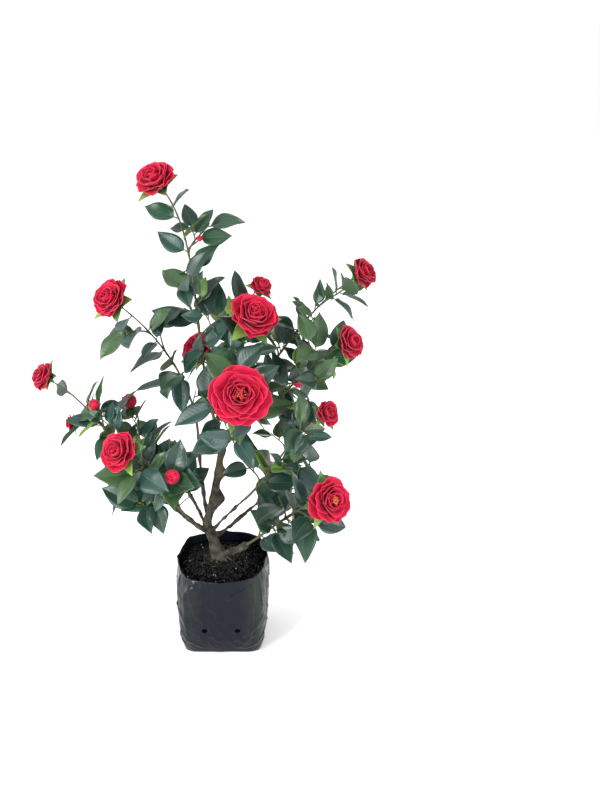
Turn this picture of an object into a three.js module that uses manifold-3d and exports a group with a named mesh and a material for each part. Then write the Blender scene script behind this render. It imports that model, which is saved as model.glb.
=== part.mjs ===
// A camellia shrub in its black nursery grow-bag. Millimetres, +Z up.
// The origin is the centre of the bag's flat underside, and the plant's open side faces -Y.
// The trunk stands on the soil and forks into boughs. Each bough carries one or more masses:
// a mass is a stem with shoots, and the shoots hold leaves, flowers and buds.
import * as THREE from 'three';
import { mergeVertices } from 'three/addons/utils/BufferGeometryUtils.js';
import Module from 'manifold-3d';

const wasm = await Module();
wasm.setup();

// ---- Driving dimensions ----

const GAP = 0.3; // clearance between two solids that meet
const STEM_GAP = 0.36; // from a bough's tip to the stem of its mass, just outside that clearance
const FINEST = 0.02; // joining and cutting merge edges shorter than this

// The bag is nearly square at its foot and a rounded octagon at its rim, which rises to the back.
const BASE_HALF_X = 34.5;
const BASE_HALF_Y = 28;
const RIM_HALF_X = 39.5;
const RIM_HALF_Y = 38;
const RIM_HEIGHT = 78.5;
const RIM_RISE = 5.5;
const BASE_SQUARENESS = 6;
const RIM_SQUARENESS = 2.7;
const BAG_WALL = 0.8;
const BAG_FLOOR = 1;
const BAG_SIDES = 24;
const BAG_LEVELS = [0, 0.06, 0.2, 0.5, 0.87, 1];
const DRAIN_RADIUS = 2.3;
const DRAIN_HEIGHT = 25.5;
const DRAIN_OFFSET = 14;
const DRAIN_SIDES = 10;

// The soil reaches the last bag level but one, and mounds up to a flat seat under the trunk.
const SOIL_INSET = 1.7; // from the bag's outside, so the soil is clear of the wall
const SOIL_SEAT = 75;
const SOIL_SEAT_FRACTION = 0.28;
const SOIL_TOP_FRACTIONS = [0.85, 0.66, 0.46];
const SOIL_RIPPLE = 0.9;
const SOIL_SLOPE = 1.5; // above 1, the mound is flatter in the middle than at the edge

const TRUNK_FOOT_RADIUS = 6.2;
const TRUNK_TIP_RADIUS = 2.4;
const TRUNK_TAPER = 0.7; // below 1, the trunk thins faster near its foot
const TRUNK_SIDES = 10;
const TRUNK_RINGS = 22;
const FLARE = 2.2;
const FLARE_HEIGHT = 5;
const FLARE_RIDGES = 3;
const RIDGE_DEPTH = 0.25; // of the flare
const BOUGH_TAPER = 0.66; // a bough's radius at its tip, as a share of the one at its foot
const BOUGH_SIDES = 7;
const BOUGH_RINGS = 6;
const LIMB_STEPS = 3; // straight steps that a limb's smooth curve runs through

const SHOOT_RINGS = 3;
const STEM_RINGS = 6;
const STEM_RADIUS = 1.1;
const SHOOT_RADIUS = 0.8;
const SHOOT_TIP_RADIUS = 0.5;
const SHOOT_SIDES = 3;
const FORK_HOLD = 0.65; // how much of a side shoot's first direction is its parent's
const SHOOT_CLIMB = 0.25; // how far a shoot without a flower turns up at its tip
const LEAVING_HOLD = 0.35; // how far a shoot keeps its first direction, as a share of its reach
const ARRIVING_HOLD = 0.3; // and its last direction

const TWIG_LENGTH = 34;
const TWIG_FIRST = 0.06; // the stretch of a stem that its side twigs stand on
const TWIG_LAST = 0.74;
const TWIG_OPENING = 62; // degrees between a side twig and its stem
const TWIG_CLIMB = 0.3; // how far a side twig turns up from there
const TWIG_SPREAD = [0.8, 1.2]; // the dice change a side twig's opening and its length by these shares
const TWIG_SHORTENING = 0.3; // how much shorter a side twig at the stem's tip is
const GOLDEN_ANGLE = 137.5; // degrees round the stem from one side twig to the next
const TWIG_LEAVES = 3;
const FLOWER_SHOOT_LEAVES = 2;
const FACE_OUTWARDS = 0.5; // how much a flower turns from its shoot's way to face out of the crown

const LEAF_LENGTH = 39;
const LEAF_SINK = 0.15; // the leaf's point stands this far past its shoot's axis
const LEAF_FOLD = 0.13;
const LEAF_THICKNESS = 1 / 62; // of the leaf's length
const LEAF_THINNEST = 0.5;
const LEAF_OPENING = [0.7, 1.2]; // radians between a leaf and its shoot, as the dice fall
const LEAF_LONG = [0.78, 1.12];
const LEAF_WIDE = [0.5, 0.62]; // of the leaf's length
const LEAF_DROOP = [0.06, 0.22]; // of the leaf's length
const LEAF_SHORTENING = 0.25; // how much shorter a leaf at its shoot's tip is
const LEAVES_FROM = 0.35; // where along a shoot its leaves start
const LEAVES_FROM_ON_STEM = 0.12;
const LEAVES_TO = 0.95;
const LEAF_PLACE = [0.35, 0.85]; // where in its own stretch of the shoot a leaf stands
const LEAF_FACING = { up: 0.55, out: 0.6, along: 0.3, stray: 0.7 }; // where its upper face turns
const LEAF_PROBES = [0.45, 0.75, 1]; // the places along a leaf that must be clear of every flower
const FLOWER_ROOM = { behind: 0.5, ahead: 3, aside: 1.05 }; // which each flower needs, in its radii
const DICE_STRIDE = 1009; // between the seeds of a mass's shoots
const CROWN_AXIS_Y = 45; // the leaves turn outwards from an upright axis this far behind the trunk

// ---- The trunk and its boughs ----
// A bearing is in degrees counter-clockwise from the right, seen from above: 90 is the back, -90 the front.
// A rise is in degrees above level, and a limb's lift is how much steeper it is at its tip than at its foot.

const TRUNK_STRETCHES = [
  { bearing: 172, rise: 73, lift: 0, length: 35 },
  { bearing: -16, rise: 76, lift: 6, length: 78 },
];

// Old pruning wounds have healed as knobs: place along the trunk, direction round it, height and spread.
const KNOBS = [
  { at: 0.2, turn: 3.4, height: 1.0, spread: 0.035 },
  { at: 0.36, turn: 0.2, height: 1.5, spread: 0.04 },
  { at: 0.55, turn: 3.6, height: 0.7, spread: 0.03 },
  { at: 0.72, turn: -0.3, height: 1.5, spread: 0.03 },
  { at: 0.97, turn: 2.0, height: 0.8, spread: 0.04 },
];

// A bough starts `at` a share of the way along the limb it grows `from`.
const BOUGHS = [
  { name: 'bough_low_right', from: 'trunk', at: 0.07, radius: 3.9,
    bearing: -32, rise: 22, lift: 16, length: 34 },
  { name: 'bough_left', from: 'trunk', at: 0.34, radius: 2.5,
    bearing: 197, rise: 42, lift: 6, length: 52 },
  { name: 'bough_left_front', from: 'bough_left', at: 0.3, radius: 1.6,
    bearing: 245, rise: 42, lift: 4, length: 27 },
  { name: 'bough_left_rise', from: 'trunk', at: 0.37, radius: 2,
    bearing: 130, rise: 76, lift: 10, length: 88 },
  { name: 'bough_leader', from: 'trunk', at: 0.97, radius: 2,
    bearing: 150, rise: 75, lift: 4, length: 56 },
  { name: 'bough_centre', from: 'trunk', at: 0.96, radius: 1.9,
    bearing: -68, rise: 40, lift: 4, length: 36 },
  { name: 'bough_right', from: 'trunk', at: 0.97, radius: 1.9,
    bearing: -12, rise: 42, lift: 0, length: 42 },
  { name: 'bough_upper_right', from: 'trunk', at: 0.96, radius: 1.8,
    bearing: 16, rise: 55, lift: 4, length: 50 },
  { name: 'bough_right_thin', from: 'trunk', at: 0.38, radius: 1.6,
    bearing: -22, rise: 50, lift: -4, length: 50 },
  { name: 'bough_centre_back', from: 'trunk', at: 0.94, radius: 1.8,
    bearing: 98, rise: 42, lift: 6, length: 48 },
  { name: 'bough_back_left', from: 'trunk', at: 0.44, radius: 2,
    bearing: 122, rise: 30, lift: 0, length: 60 },
  { name: 'bough_back_right', from: 'trunk', at: 0.28, radius: 2,
    bearing: 44, rise: 18, lift: 0, length: 60 },
  { name: 'bough_back_top', from: 'trunk', at: 0.76, radius: 1.9,
    bearing: 80, rise: 30, lift: 0, length: 66 },
];

// ---- The masses ----
// A mass is one stem, which grows on from its bough's tip towards a bearing and a rise, with a bloom of that
// radius at its end. Side twigs stand round it by a seeded rule, and `size` scales all its leaves. Its other
// flowers and buds are on shoots that start `at` a share of the way along the stem.

const MASSES = [
  { name: 'top_spray', bough: 'bough_leader', seed: 117, size: 1,
    bearing: 179, rise: 78, length: 170, bloom: 17, leaves: 9, twigs: 4, flowers: [
      { at: 0.65, bearing: 10, rise: 45, length: 14, bud: 2.6, leaves: 0 },
    ] },
  { name: 'upper_left_spray', bough: 'bough_left_rise', seed: 59, size: 1,
    bearing: 207, rise: 61, length: 144, bloom: 17, leaves: 6, twigs: 5, flowers: [] },
  { name: 'far_left_spray', bough: 'bough_left', seed: 211, size: 0.85,
    bearing: 180, rise: 49, length: 147, bloom: 12.5, leaves: 6, twigs: 3, flowers: [
      { at: 0.55, bearing: 240, rise: 65, length: 30, bud: 5.2 },
      { at: 0.6, bearing: 150, rise: -10, length: 34, bloom: 8.5 },
      { at: 0.2, bearing: 115, rise: 60, length: 66, bud: 7.2 },
    ] },
  { name: 'lower_left_spray', bough: 'bough_left_front', seed: 83, size: 1.1,
    bearing: 218, rise: 51, length: 94, bloom: 17, leaves: 5, twigs: 5, flowers: [
      { at: 0.42, bearing: 290, rise: 40, length: 36, bud: 6.6 },
    ] },
  { name: 'centre_front', bough: 'bough_centre', seed: 31, size: 1.05,
    bearing: -78, rise: 43, length: 77, bloom: 24, leaves: 4, twigs: 5, flowers: [
      { at: 0.2, bearing: 14, rise: 78, length: 92, bloom: 21, leaves: 4 },
    ] },
  { name: 'centre_back', bough: 'bough_centre_back', seed: 47, size: 0.95,
    bearing: 5, rise: 68, length: 107, bloom: 11, leaves: 4, twigs: 3, flowers: [
      { at: 0.2, bearing: 190, rise: 56, length: 32, bloom: 17 },
      { at: 0.5, bearing: 88, rise: 12, length: 54, bloom: 15, leaves: 3 },
    ] },
  { name: 'right_spray', bough: 'bough_right', seed: 71, size: 0.95,
    bearing: -8, rise: 42, length: 102, bloom: 14, leaves: 6, twigs: 5, flowers: [] },
  { name: 'upper_right_spray', bough: 'bough_upper_right', seed: 137, size: 0.85,
    bearing: 4, rise: 49, length: 139, bloom: 14, leaves: 6, twigs: 4, flowers: [
      { at: 0.46, bearing: -60, rise: 35, length: 22, bud: 6.6 },
    ] },
  { name: 'middle_right_spray', bough: 'bough_right_thin', seed: 173, size: 0.85,
    bearing: -20, rise: 50, length: 113, bloom: 11.5, leaves: 6, twigs: 4, flowers: [] },
  { name: 'lower_right_spray', bough: 'bough_low_right', seed: 19, size: 1.1,
    bearing: -34, rise: 37, length: 106, bloom: 19.5, leaves: 6, twigs: 5, flowers: [] },
  { name: 'back_left_mass', bough: 'bough_back_left', seed: 97, size: 1,
    bearing: 160, rise: 4, length: 68, bloom: 13, leaves: 5, twigs: 4, flowers: [
      { at: 0.3, bearing: 112, rise: -15, length: 42, bud: 6 },
    ] },
  { name: 'back_right_mass', bough: 'bough_back_right', seed: 151, size: 1,
    bearing: 17, rise: -4, length: 68, bloom: 15, leaves: 5, twigs: 4, flowers: [
      { at: 0.1, bearing: 88, rise: 8, length: 50, bud: 7 },
    ] },
  { name: 'back_top_mass', bough: 'bough_back_top', seed: 223, size: 1,
    bearing: 88, rise: 2, length: 64, bloom: 19, leaves: 5, twigs: 4, flowers: [
      { at: 0.5, bearing: 12, rise: 20, length: 64, bud: 8 },
    ] },
];

// ---- Colours and finishes ----

const FINISH = {
  film: new THREE.MeshStandardMaterial({ color: 0x24262e, roughness: 0.42, metalness: 0 }),
  soil: new THREE.MeshStandardMaterial({ color: 0x17130f, roughness: 0.95, metalness: 0 }),
  bark: new THREE.MeshStandardMaterial({ color: 0x6b5f4d, roughness: 0.85, metalness: 0 }),
  leaf: new THREE.MeshStandardMaterial({ color: 0x2f5040, roughness: 0.45, metalness: 0 }),
};

// ---- Small tools ----

const UP = new THREE.Vector3(0, 0, 1);
const between = (a, b, share) => a + (b - a) * share;
const radians = THREE.MathUtils.degToRad;

function towards(bearing, rise) {
  const level = Math.cos(radians(rise));
  return new THREE.Vector3(level * Math.cos(radians(bearing)), level * Math.sin(radians(bearing)),
    Math.sin(radians(rise)));
}

// The same seed always gives the same run of numbers between 0 and 1.
function dice(seed) {
  let state = (seed * 48271) % 2147483647;
  return () => {
    state = (state * 16807) % 2147483647;
    return state / 2147483647;
  };
}

function closedGeometry(points, faces) {
  const geometry = new THREE.BufferGeometry();
  const flat = points.flatMap((point) => [point.x, point.y, point.z]);
  geometry.setAttribute('position', new THREE.Float32BufferAttribute(flat, 3));
  geometry.setIndex(faces);
  return geometry;
}

function toSolid(geometry) {
  const vertProperties = new Float32Array(geometry.attributes.position.array);
  const triVerts = new Uint32Array(geometry.index.array);
  return new wasm.Manifold(new wasm.Mesh({ numProp: 3, vertProperties, triVerts, tolerance: FINEST }));
}

function toGeometry(solid) {
  const mesh = solid.getMesh();
  const geometry = new THREE.BufferGeometry();
  geometry.setAttribute('position', new THREE.Float32BufferAttribute(mesh.vertProperties, 3));
  geometry.setIndex(Array.from(mesh.triVerts));
  return geometry;
}

// Joining can leave a scrap or seal a hollow. The one outer body is kept.
function outerBody(solid) {
  const pieces = solid.decompose();
  return pieces.reduce((best, piece) => (piece.volume() > best.volume() ? piece : best));
}

const touches = (solid, others) => !solid.intersect(others).isEmpty();

// Rings of equally many points, counter-clockwise round the way they go, closed by a pole at each end.
function ringGeometry(rings, firstPole, lastPole) {
  const count = rings[0].length;
  const first = rings.length * count;
  const last = first + 1;
  const faces = [];
  for (let i = 0; i < count; i++) {
    const next = (i + 1) % count;
    for (let start = 0; start < first - count; start += count) {
      faces.push(start + i, start + next, start + count + next);
      faces.push(start + i, start + count + next, start + count + i);
    }
    faces.push(first, next, i);
    faces.push(last, first - count + i, first - count + next);
  }
  return closedGeometry([...rings.flat(), firstPole, lastPole], faces);
}

// A frame at `point` whose ring of `count` points lies square to `axis`, starting towards `side`.
function ringAround(point, axis, side, count, radiusAt) {
  const across = new THREE.Vector3().crossVectors(axis, side);
  return Array.from({ length: count }, (_, i) => {
    const turn = (i / count) * 2 * Math.PI;
    const out = side.clone().multiplyScalar(Math.cos(turn)).addScaledVector(across, Math.sin(turn));
    return point.clone().addScaledVector(out, radiusAt(turn));
  });
}

// Any unit vector square to `axis`.
function squareTo(axis) {
  const helper = Math.abs(axis.z) < 0.9 ? new THREE.Vector3(0, 0, 1) : new THREE.Vector3(1, 0, 0);
  return helper.cross(axis).normalize();
}

// Frames along a curve, each turned as little as possible from the one before.
function framesAlong(curve, count) {
  let side = squareTo(curve.getTangent(0));
  return Array.from({ length: count }, (_, i) => {
    const share = i / (count - 1);
    const tangent = curve.getTangent(share);
    side = side.clone().addScaledVector(tangent, -side.dot(tangent)).normalize();
    return { share, point: curve.getPoint(share), tangent, side };
  });
}

// A tapering tube. `radiusAt` takes the share of the length and the turn round the limb.
function tubeSolid(frames, sides, radiusAt, grow = 0) {
  const rings = frames.map(({ share, point, tangent, side }) => {
    const shift = share === 0 ? -grow : share === 1 ? grow : 0;
    const centre = point.clone().addScaledVector(tangent, shift);
    return ringAround(centre, tangent, side, sides, (turn) => radiusAt(share, turn) + grow);
  });
  const first = frames[0].point.clone().addScaledVector(frames[0].tangent, -grow);
  const end = frames[frames.length - 1];
  return toSolid(ringGeometry(rings, first, end.point.clone().addScaledVector(end.tangent, grow)));
}

// ---- Bag and soil ----

const rimHeight = (turn) => RIM_HEIGHT + RIM_RISE * Math.sin(turn);

// A point of the bag's outside at a level from 0 at the foot to 1 at the rim, set in towards the middle.
function bagPoint(turn, level, inset) {
  const spread = 1 - (1 - level) ** 4;
  const power = between(BASE_SQUARENESS, RIM_SQUARENESS, level);
  const halfX = between(BASE_HALF_X, RIM_HALF_X, spread);
  const halfY = between(BASE_HALF_Y, RIM_HALF_Y, spread);
  const across = (Math.abs(Math.cos(turn)) / halfX) ** power + (Math.abs(Math.sin(turn)) / halfY) ** power;
  const radius = across ** (-1 / power) - inset;
  return new THREE.Vector3(radius * Math.cos(turn), radius * Math.sin(turn), level * rimHeight(turn));
}

function bagRing(level, inset, lowest = 0) {
  return Array.from({ length: BAG_SIDES }, (_, i) => {
    const point = bagPoint((i / BAG_SIDES) * 2 * Math.PI, level, inset);
    return point.setZ(Math.max(point.z, lowest));
  });
}

function bagSolid() {
  const outside = BAG_LEVELS.map((level) => bagRing(level, 0));
  const inside = BAG_LEVELS.map((level) => bagRing(level, BAG_WALL, BAG_FLOOR)).reverse();
  const under = new THREE.Vector3(0, 0, 0);
  const floor = new THREE.Vector3(0, 0, BAG_FLOOR);
  const shell = toSolid(ringGeometry([...outside, ...inside], under, floor));
  return [-DRAIN_OFFSET, DRAIN_OFFSET].reduce((bag, x) => bag.subtract(drainSolid(x)), shell);
}

// One rod that pierces the front wall and the back wall.
function drainSolid(x) {
  const rod = new THREE.CylinderGeometry(DRAIN_RADIUS, DRAIN_RADIUS, 3 * RIM_HALF_Y, DRAIN_SIDES);
  rod.deleteAttribute('normal');
  rod.deleteAttribute('uv');
  rod.translate(x, 0, DRAIN_HEIGHT);
  return toSolid(mergeVertices(rod));
}

function soilSolid() {
  const sides = BAG_LEVELS.slice(0, -1).map((level) => bagRing(level, SOIL_INSET, BAG_FLOOR + GAP));
  const edge = sides[sides.length - 1];
  const top = [...SOIL_TOP_FRACTIONS, SOIL_SEAT_FRACTION].map((fraction) => edge.map((point, i) => {
    const fall = (fraction - SOIL_SEAT_FRACTION) / (1 - SOIL_SEAT_FRACTION);
    const ripple = SOIL_RIPPLE * fall * Math.sin(2 * i + 9 * fraction);
    const height = between(SOIL_SEAT, point.z, fall ** SOIL_SLOPE) + ripple;
    return new THREE.Vector3(point.x * fraction, point.y * fraction, height);
  }));
  const low = new THREE.Vector3(0, 0, BAG_FLOOR + GAP);
  return toSolid(ringGeometry([...sides, ...top], low, new THREE.Vector3(0, 0, SOIL_SEAT)));
}

// ---- Trunk and boughs ----

// Goes on along a route from its last point, a limb's straight steps at a time.
function walk(route, { bearing, rise, lift, length }) {
  for (let step = 0; step < LIMB_STEPS; step++) {
    const climb = rise + (lift * step) / (LIMB_STEPS - 1);
    route.push(route.at(-1).clone().addScaledVector(towards(bearing, climb), length / LIMB_STEPS));
  }
  return route;
}

const smoothCurve = (route) => new THREE.CatmullRomCurve3(route, false, 'catmullrom', 0.5);

const trunkFoot = new THREE.Vector3(-2, 0, SOIL_SEAT + GAP);
const limbCurves = { trunk: smoothCurve(TRUNK_STRETCHES.reduce(walk, [trunkFoot])) };
for (const bough of BOUGHS) {
  const foot = limbCurves[bough.from].getPoint(bough.at);
  limbCurves[bough.name] = smoothCurve(walk([foot], bough));
}

function trunkRadius(share, turn) {
  const height = limbCurves.trunk.getPoint(share).z - trunkFoot.z;
  const flare = FLARE * Math.exp(-height / FLARE_HEIGHT) * (1 + RIDGE_DEPTH * Math.cos(FLARE_RIDGES * turn));
  const knobs = KNOBS.map((knob) => {
    const along = Math.exp(-(((share - knob.at) / knob.spread) ** 2));
    return knob.height * along * Math.max(0, Math.cos(turn - knob.turn)) ** 2;
  });
  const taper = between(TRUNK_FOOT_RADIUS, TRUNK_TIP_RADIUS, share ** TRUNK_TAPER);
  return taper + flare + knobs.reduce((sum, knob) => sum + knob);
}

function trunkSolid(grow = 0) {
  const frames = framesAlong(limbCurves.trunk, TRUNK_RINGS);
  frames[0].tangent = new THREE.Vector3(0, 0, 1);
  frames[0].side = squareTo(frames[1].tangent).setZ(0).normalize();
  return tubeSolid(frames, TRUNK_SIDES, trunkRadius, grow);
}

function boughSolid(bough, grow = 0) {
  const frames = framesAlong(limbCurves[bough.name], BOUGH_RINGS);
  return tubeSolid(frames, BOUGH_SIDES, (share) => bough.radius * between(1, BOUGH_TAPER, share), grow);
}

// ---- Flowers and buds: rings round the way they face, as shares of the radius ----

const BLOOM_FORM = {
  sides: 9,
  profile: [[0.2, -0.78], [0.5, -0.52], [0.88, -0.2], [0.93, 0.1], [0.62, 0.44]],
  lobes: 0.09,
  poles: [-0.95, 0.42],
};
const BUD_FORM = {
  sides: 6,
  profile: [[0.5, -0.75], [0.98, -0.15], [0.75, 0.6]],
  lobes: 0,
  poles: [-1, 1.1],
};
const LOBE_COUNT = 5;
const LOBE_TURN = 2; // radians from one ring's lobes to the next ring's
const RUFFLE = 0.6; // how far a ring's corners stand up and down by turns, as a share of its lobes
const FLOWER_SEAT = 0.85; // from the flower's centre back to the tip of its shoot

function headSolid(centre, face, radius, { sides, profile, lobes, poles }) {
  const side = squareTo(face);
  const rings = profile.map(([out, up], row) => {
    const depth = lobes * Math.min(1, row / 2);
    const ring = ringAround(centre.clone().addScaledVector(face, up * radius), face, side, sides,
      (turn) => radius * out * (1 + depth * Math.cos(LOBE_COUNT * turn + LOBE_TURN * row)));
    return ring.map((point, i) => point.addScaledVector(face, radius * depth * (i % 2 ? RUFFLE : -RUFFLE)));
  });
  const [low, high] = poles.map((up) => centre.clone().addScaledVector(face, up * radius));
  return toSolid(ringGeometry(rings, low, high));
}

function flowerSolid({ centre, face, radius, open }) {
  return headSolid(centre, face, radius, open ? BLOOM_FORM : BUD_FORM);
}

// ---- Leaves ----

// The leaf's own axes are x along it, y to its left and z out of its upper face. Its four side points stand
// above its midrib, and it arches down towards its tip.
const LEAF_SIDES = [[0.3, 0.46], [0.3, -0.46], [0.68, -0.42], [0.68, 0.42]];
const LEAF_MIDDLE = 0.48;

function leafSolid(leaf, grow = 0) {
  const { root, along, normal, length, width, droop } = leaf;
  const left = new THREE.Vector3().crossVectors(normal, along);
  const half = Math.max(LEAF_THINNEST, length * LEAF_THICKNESS) / 2 + grow;
  const arch = (share) => -droop * length * share * share;
  const place = (x, y, z) => (
    root.clone().addScaledVector(along, x).addScaledVector(left, y).addScaledVector(normal, z));
  const [leftA, rightA, rightB, leftB] = LEAF_SIDES.map(([share, reach]) => {
    const lift = arch(share) + LEAF_FOLD * width;
    return place(share * length, reach * width + Math.sign(reach) * grow, lift);
  });
  const foot = place(-LEAF_SINK - grow, 0, 0);
  const tip = place(length + grow, 0, arch(1));
  const top = place(LEAF_MIDDLE * length, 0, arch(LEAF_MIDDLE) + half);
  const low = place(LEAF_MIDDLE * length, 0, arch(LEAF_MIDDLE) - half);
  return toSolid(ringGeometry([[foot, rightA, rightB, tip, leftB, leftA]], low, top));
}

// The point at a share of the way along a tube, on the straight runs between its rings.
function pointOnTube(frames, share) {
  const place = share * (frames.length - 1);
  const start = Math.min(Math.floor(place), frames.length - 2);
  return frames[start].point.clone().lerp(frames[start + 1].point, place - start);
}

const outwards = ({ x, y }) => new THREE.Vector3(x, y - CROWN_AXIS_Y, 0).normalize();

// Leaves stand in two ranks, left and right of their shoot, and turn their upper faces up and outwards.
function leavesOn({ isStem, curve, frames, leaves: count, size, roll }) {
  const leaves = [];
  for (let i = 0; i < count; i++) {
    const stray = new THREE.Vector3(roll() - 0.5, roll() - 0.5, roll() - 0.5);
    const [place, open, longer, wider, sag] = [roll(), roll(), roll(), roll(), roll()];
    const first = isStem ? LEAVES_FROM_ON_STEM : LEAVES_FROM;
    const share = between(first, LEAVES_TO, (i + between(...LEAF_PLACE, place)) / count);
    const root = pointOnTube(frames, share);
    const tangent = curve.getTangent(share);
    const facing = new THREE.Vector3(0, 0, LEAF_FACING.up).addScaledVector(outwards(root), LEAF_FACING.out);
    facing.addScaledVector(stray, LEAF_FACING.stray).addScaledVector(tangent, LEAF_FACING.along).normalize();
    const across = new THREE.Vector3().crossVectors(tangent, facing).normalize();
    const lean = between(...LEAF_OPENING, open);
    const along = tangent.clone().multiplyScalar(Math.cos(lean));
    along.addScaledVector(across, (i % 2 ? -1 : 1) * Math.sin(lean)).normalize();
    const normal = facing.addScaledVector(along, -facing.dot(along)).normalize();
    const length = LEAF_LENGTH * size * between(...LEAF_LONG, longer) * (1 - LEAF_SHORTENING * share);
    const width = length * between(...LEAF_WIDE, wider);
    leaves.push({ root, along, normal, length, width, droop: between(...LEAF_DROOP, sag) });
  }
  return leaves;
}

// ---- Masses ----

// A shoot runs from its foot to its flower or its tip, `length` away along its heading.
function growShoot(foot, leaving, plan) {
  const { heading, length, bloom, bud, isStem } = plan;
  const end = foot.clone().addScaledVector(heading, length);
  const arriving = heading.clone().addScaledVector(UP, SHOOT_CLIMB).normalize();
  let flower = null;
  if (bloom || bud) {
    arriving.copy(heading).addScaledVector(outwards(end), FACE_OUTWARDS).normalize();
    flower = { centre: end.clone(), face: arriving, radius: bloom ?? bud, open: bloom !== undefined };
    end.addScaledVector(arriving, -FLOWER_SEAT * flower.radius);
  }
  const reach = end.distanceTo(foot);
  const second = foot.clone().addScaledVector(leaving, LEAVING_HOLD * reach);
  const third = end.clone().addScaledVector(arriving, -ARRIVING_HOLD * reach);
  const curve = new THREE.CubicBezierCurve3(foot, second, third, end);
  const frames = framesAlong(curve, isStem ? STEM_RINGS : SHOOT_RINGS);
  return { ...plan, flower, curve, frames };
}

function shootSolid({ isStem, frames, flower }, grow = 0) {
  const thick = isStem ? STEM_RADIUS : SHOOT_RADIUS;
  const tube = tubeSolid(frames, SHOOT_SIDES, (share) => between(thick, SHOOT_TIP_RADIUS, share), grow);
  return flower ? tube.add(flowerSolid(flower)) : tube;
}

// Side twigs stand round their stem, each a golden angle on from the one before, and shorter towards its tip.
function planTwigs({ seed, twigs }, stem) {
  const roll = dice(seed);
  const start = 360 * roll();
  return Array.from({ length: twigs }, (_, i) => {
    const [place, open, longer] = [roll(), roll(), roll()];
    const at = between(TWIG_FIRST, TWIG_LAST, (i + place) / twigs);
    const tangent = stem.curve.getTangent(at);
    const side = squareTo(tangent).applyAxisAngle(tangent, radians(start + i * GOLDEN_ANGLE));
    const opening = radians(TWIG_OPENING * between(...TWIG_SPREAD, open));
    const heading = tangent.multiplyScalar(Math.cos(opening)).addScaledVector(side, Math.sin(opening));
    heading.addScaledVector(UP, TWIG_CLIMB).normalize();
    const length = TWIG_LENGTH * between(...TWIG_SPREAD, longer) * (1 - TWIG_SHORTENING * at);
    return { at, heading, length, leaves: TWIG_LEAVES };
  });
}

// A side shoot leaves its stem partly along it and partly along its own heading.
function growSideShoot(stem, plan) {
  const foot = pointOnTube(stem.frames, plan.at);
  const leaving = stem.curve.getTangent(plan.at).multiplyScalar(FORK_HOLD);
  return growShoot(foot, leaving.addScaledVector(plan.heading, 1 - FORK_HOLD).normalize(), plan);
}

// The mass without its leaves: its stem, its flower shoots, and each side twig that stands clear of `limbs`.
// Every shoot has dice of its own, so that one left out changes no other.
function growFramework(mass, limbs) {
  const limb = limbCurves[mass.bough];
  const leaving = limb.getTangent(1);
  const start = limb.getPoint(1).addScaledVector(leaving, STEM_GAP);
  const heading = towards(mass.bearing, mass.rise);
  const stem = growShoot(start, leaving, { ...mass, heading, isStem: true });
  const onFlowers = mass.flowers.map(({ bearing, rise, ...plan }) => (
    growSideShoot(stem, { leaves: FLOWER_SHOOT_LEAVES, ...plan, heading: towards(bearing, rise) })));
  const onTwigs = planTwigs(mass, stem).map((plan) => growSideShoot(stem, plan));
  const shoots = [stem, ...onFlowers, ...onTwigs].map((shoot, i) => (
    { ...shoot, size: mass.size, roll: dice(mass.seed + DICE_STRIDE * (i + 1)) }));
  const kept = shoots.filter((shoot) => shoot.flower || !touches(shootSolid(shoot, GAP), limbs));
  return { shoots: kept, solid: wasm.Manifold.union(kept.map((shoot) => shootSolid(shoot))) };
}

// Whether a leaf would cover or pierce a flower: the room a flower needs is its ball and the space before it.
function coversFlower(leaf, flowers) {
  return LEAF_PROBES.some((share) => {
    const point = leaf.root.clone().addScaledVector(leaf.along, share * leaf.length);
    return flowers.some(({ centre, face, radius }) => {
      const offset = point.clone().sub(centre);
      const ahead = offset.dot(face);
      const aside = offset.addScaledVector(face, -ahead).length();
      return ahead > -FLOWER_ROOM.behind * radius && ahead < FLOWER_ROOM.ahead * radius
        && aside < FLOWER_ROOM.aside * radius;
    });
  });
}

// A leaf is left out where it would touch a limb or another mass, or cover a flower.
function massSolid(framework, taken, others, flowers) {
  const kept = framework.shoots.flatMap(leavesOn).filter((leaf) => {
    const room = leafSolid(leaf, GAP);
    return !coversFlower(leaf, flowers) && !touches(room, taken) && !touches(room, others);
  });
  const whole = wasm.Manifold.union([framework.solid, ...kept.map((leaf) => leafSolid(leaf))]);
  return outerBody(whole.subtract(taken));
}

// ---- The assembly ----

const shrub = new THREE.Group();

function addNode(name, solid, material) {
  const mesh = new THREE.Mesh(toGeometry(solid), material);
  mesh.name = name;
  shrub.add(mesh);
}

addNode('bag', bagSolid(), FINISH.film);
addNode('soil', soilSolid(), FINISH.soil);
addNode('trunk', trunkSolid(), FINISH.bark);

// Each bough is cut back to stand clear of the limbs before it, and each mass of everything before it.
let taken = trunkSolid(GAP);
for (const bough of BOUGHS) {
  addNode(bough.name, outerBody(boughSolid(bough).subtract(taken)), FINISH.bark);
  taken = taken.add(boughSolid(bough, GAP));
}
let grown = taken;
const frameworks = MASSES.map((mass) => {
  const framework = growFramework(mass, grown);
  grown = grown.add(framework.solid);
  return framework;
});
const flowers = frameworks.flatMap(({ shoots }) => shoots).flatMap(({ flower }) => flower ?? []);
MASSES.forEach(({ name }, i) => {
  const others = wasm.Manifold.union(frameworks.slice(i + 1).map(({ solid }) => solid));
  const solid = massSolid(frameworks[i], taken, others, flowers);
  addNode(name, solid, FINISH.leaf);
  taken = taken.add(solid);
});

export default shrub;
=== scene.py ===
# %% [markdown]
# # A camellia in its nursery grow-bag
#
# The plant is a young camellia: a grey trunk in a black film bag of soil, thirteen boughs, and sprays of
# glossy leaves with crimson blooms. The solids of the plant are loaded first, as a fixed frame that gives
# every place and size. Each part is then made again in the detail that the eye expects, in the same place.

# %% Load the frame
from functools import lru_cache
from math import atan2, cos, degrees, exp, hypot, pi, radians, sin

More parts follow.
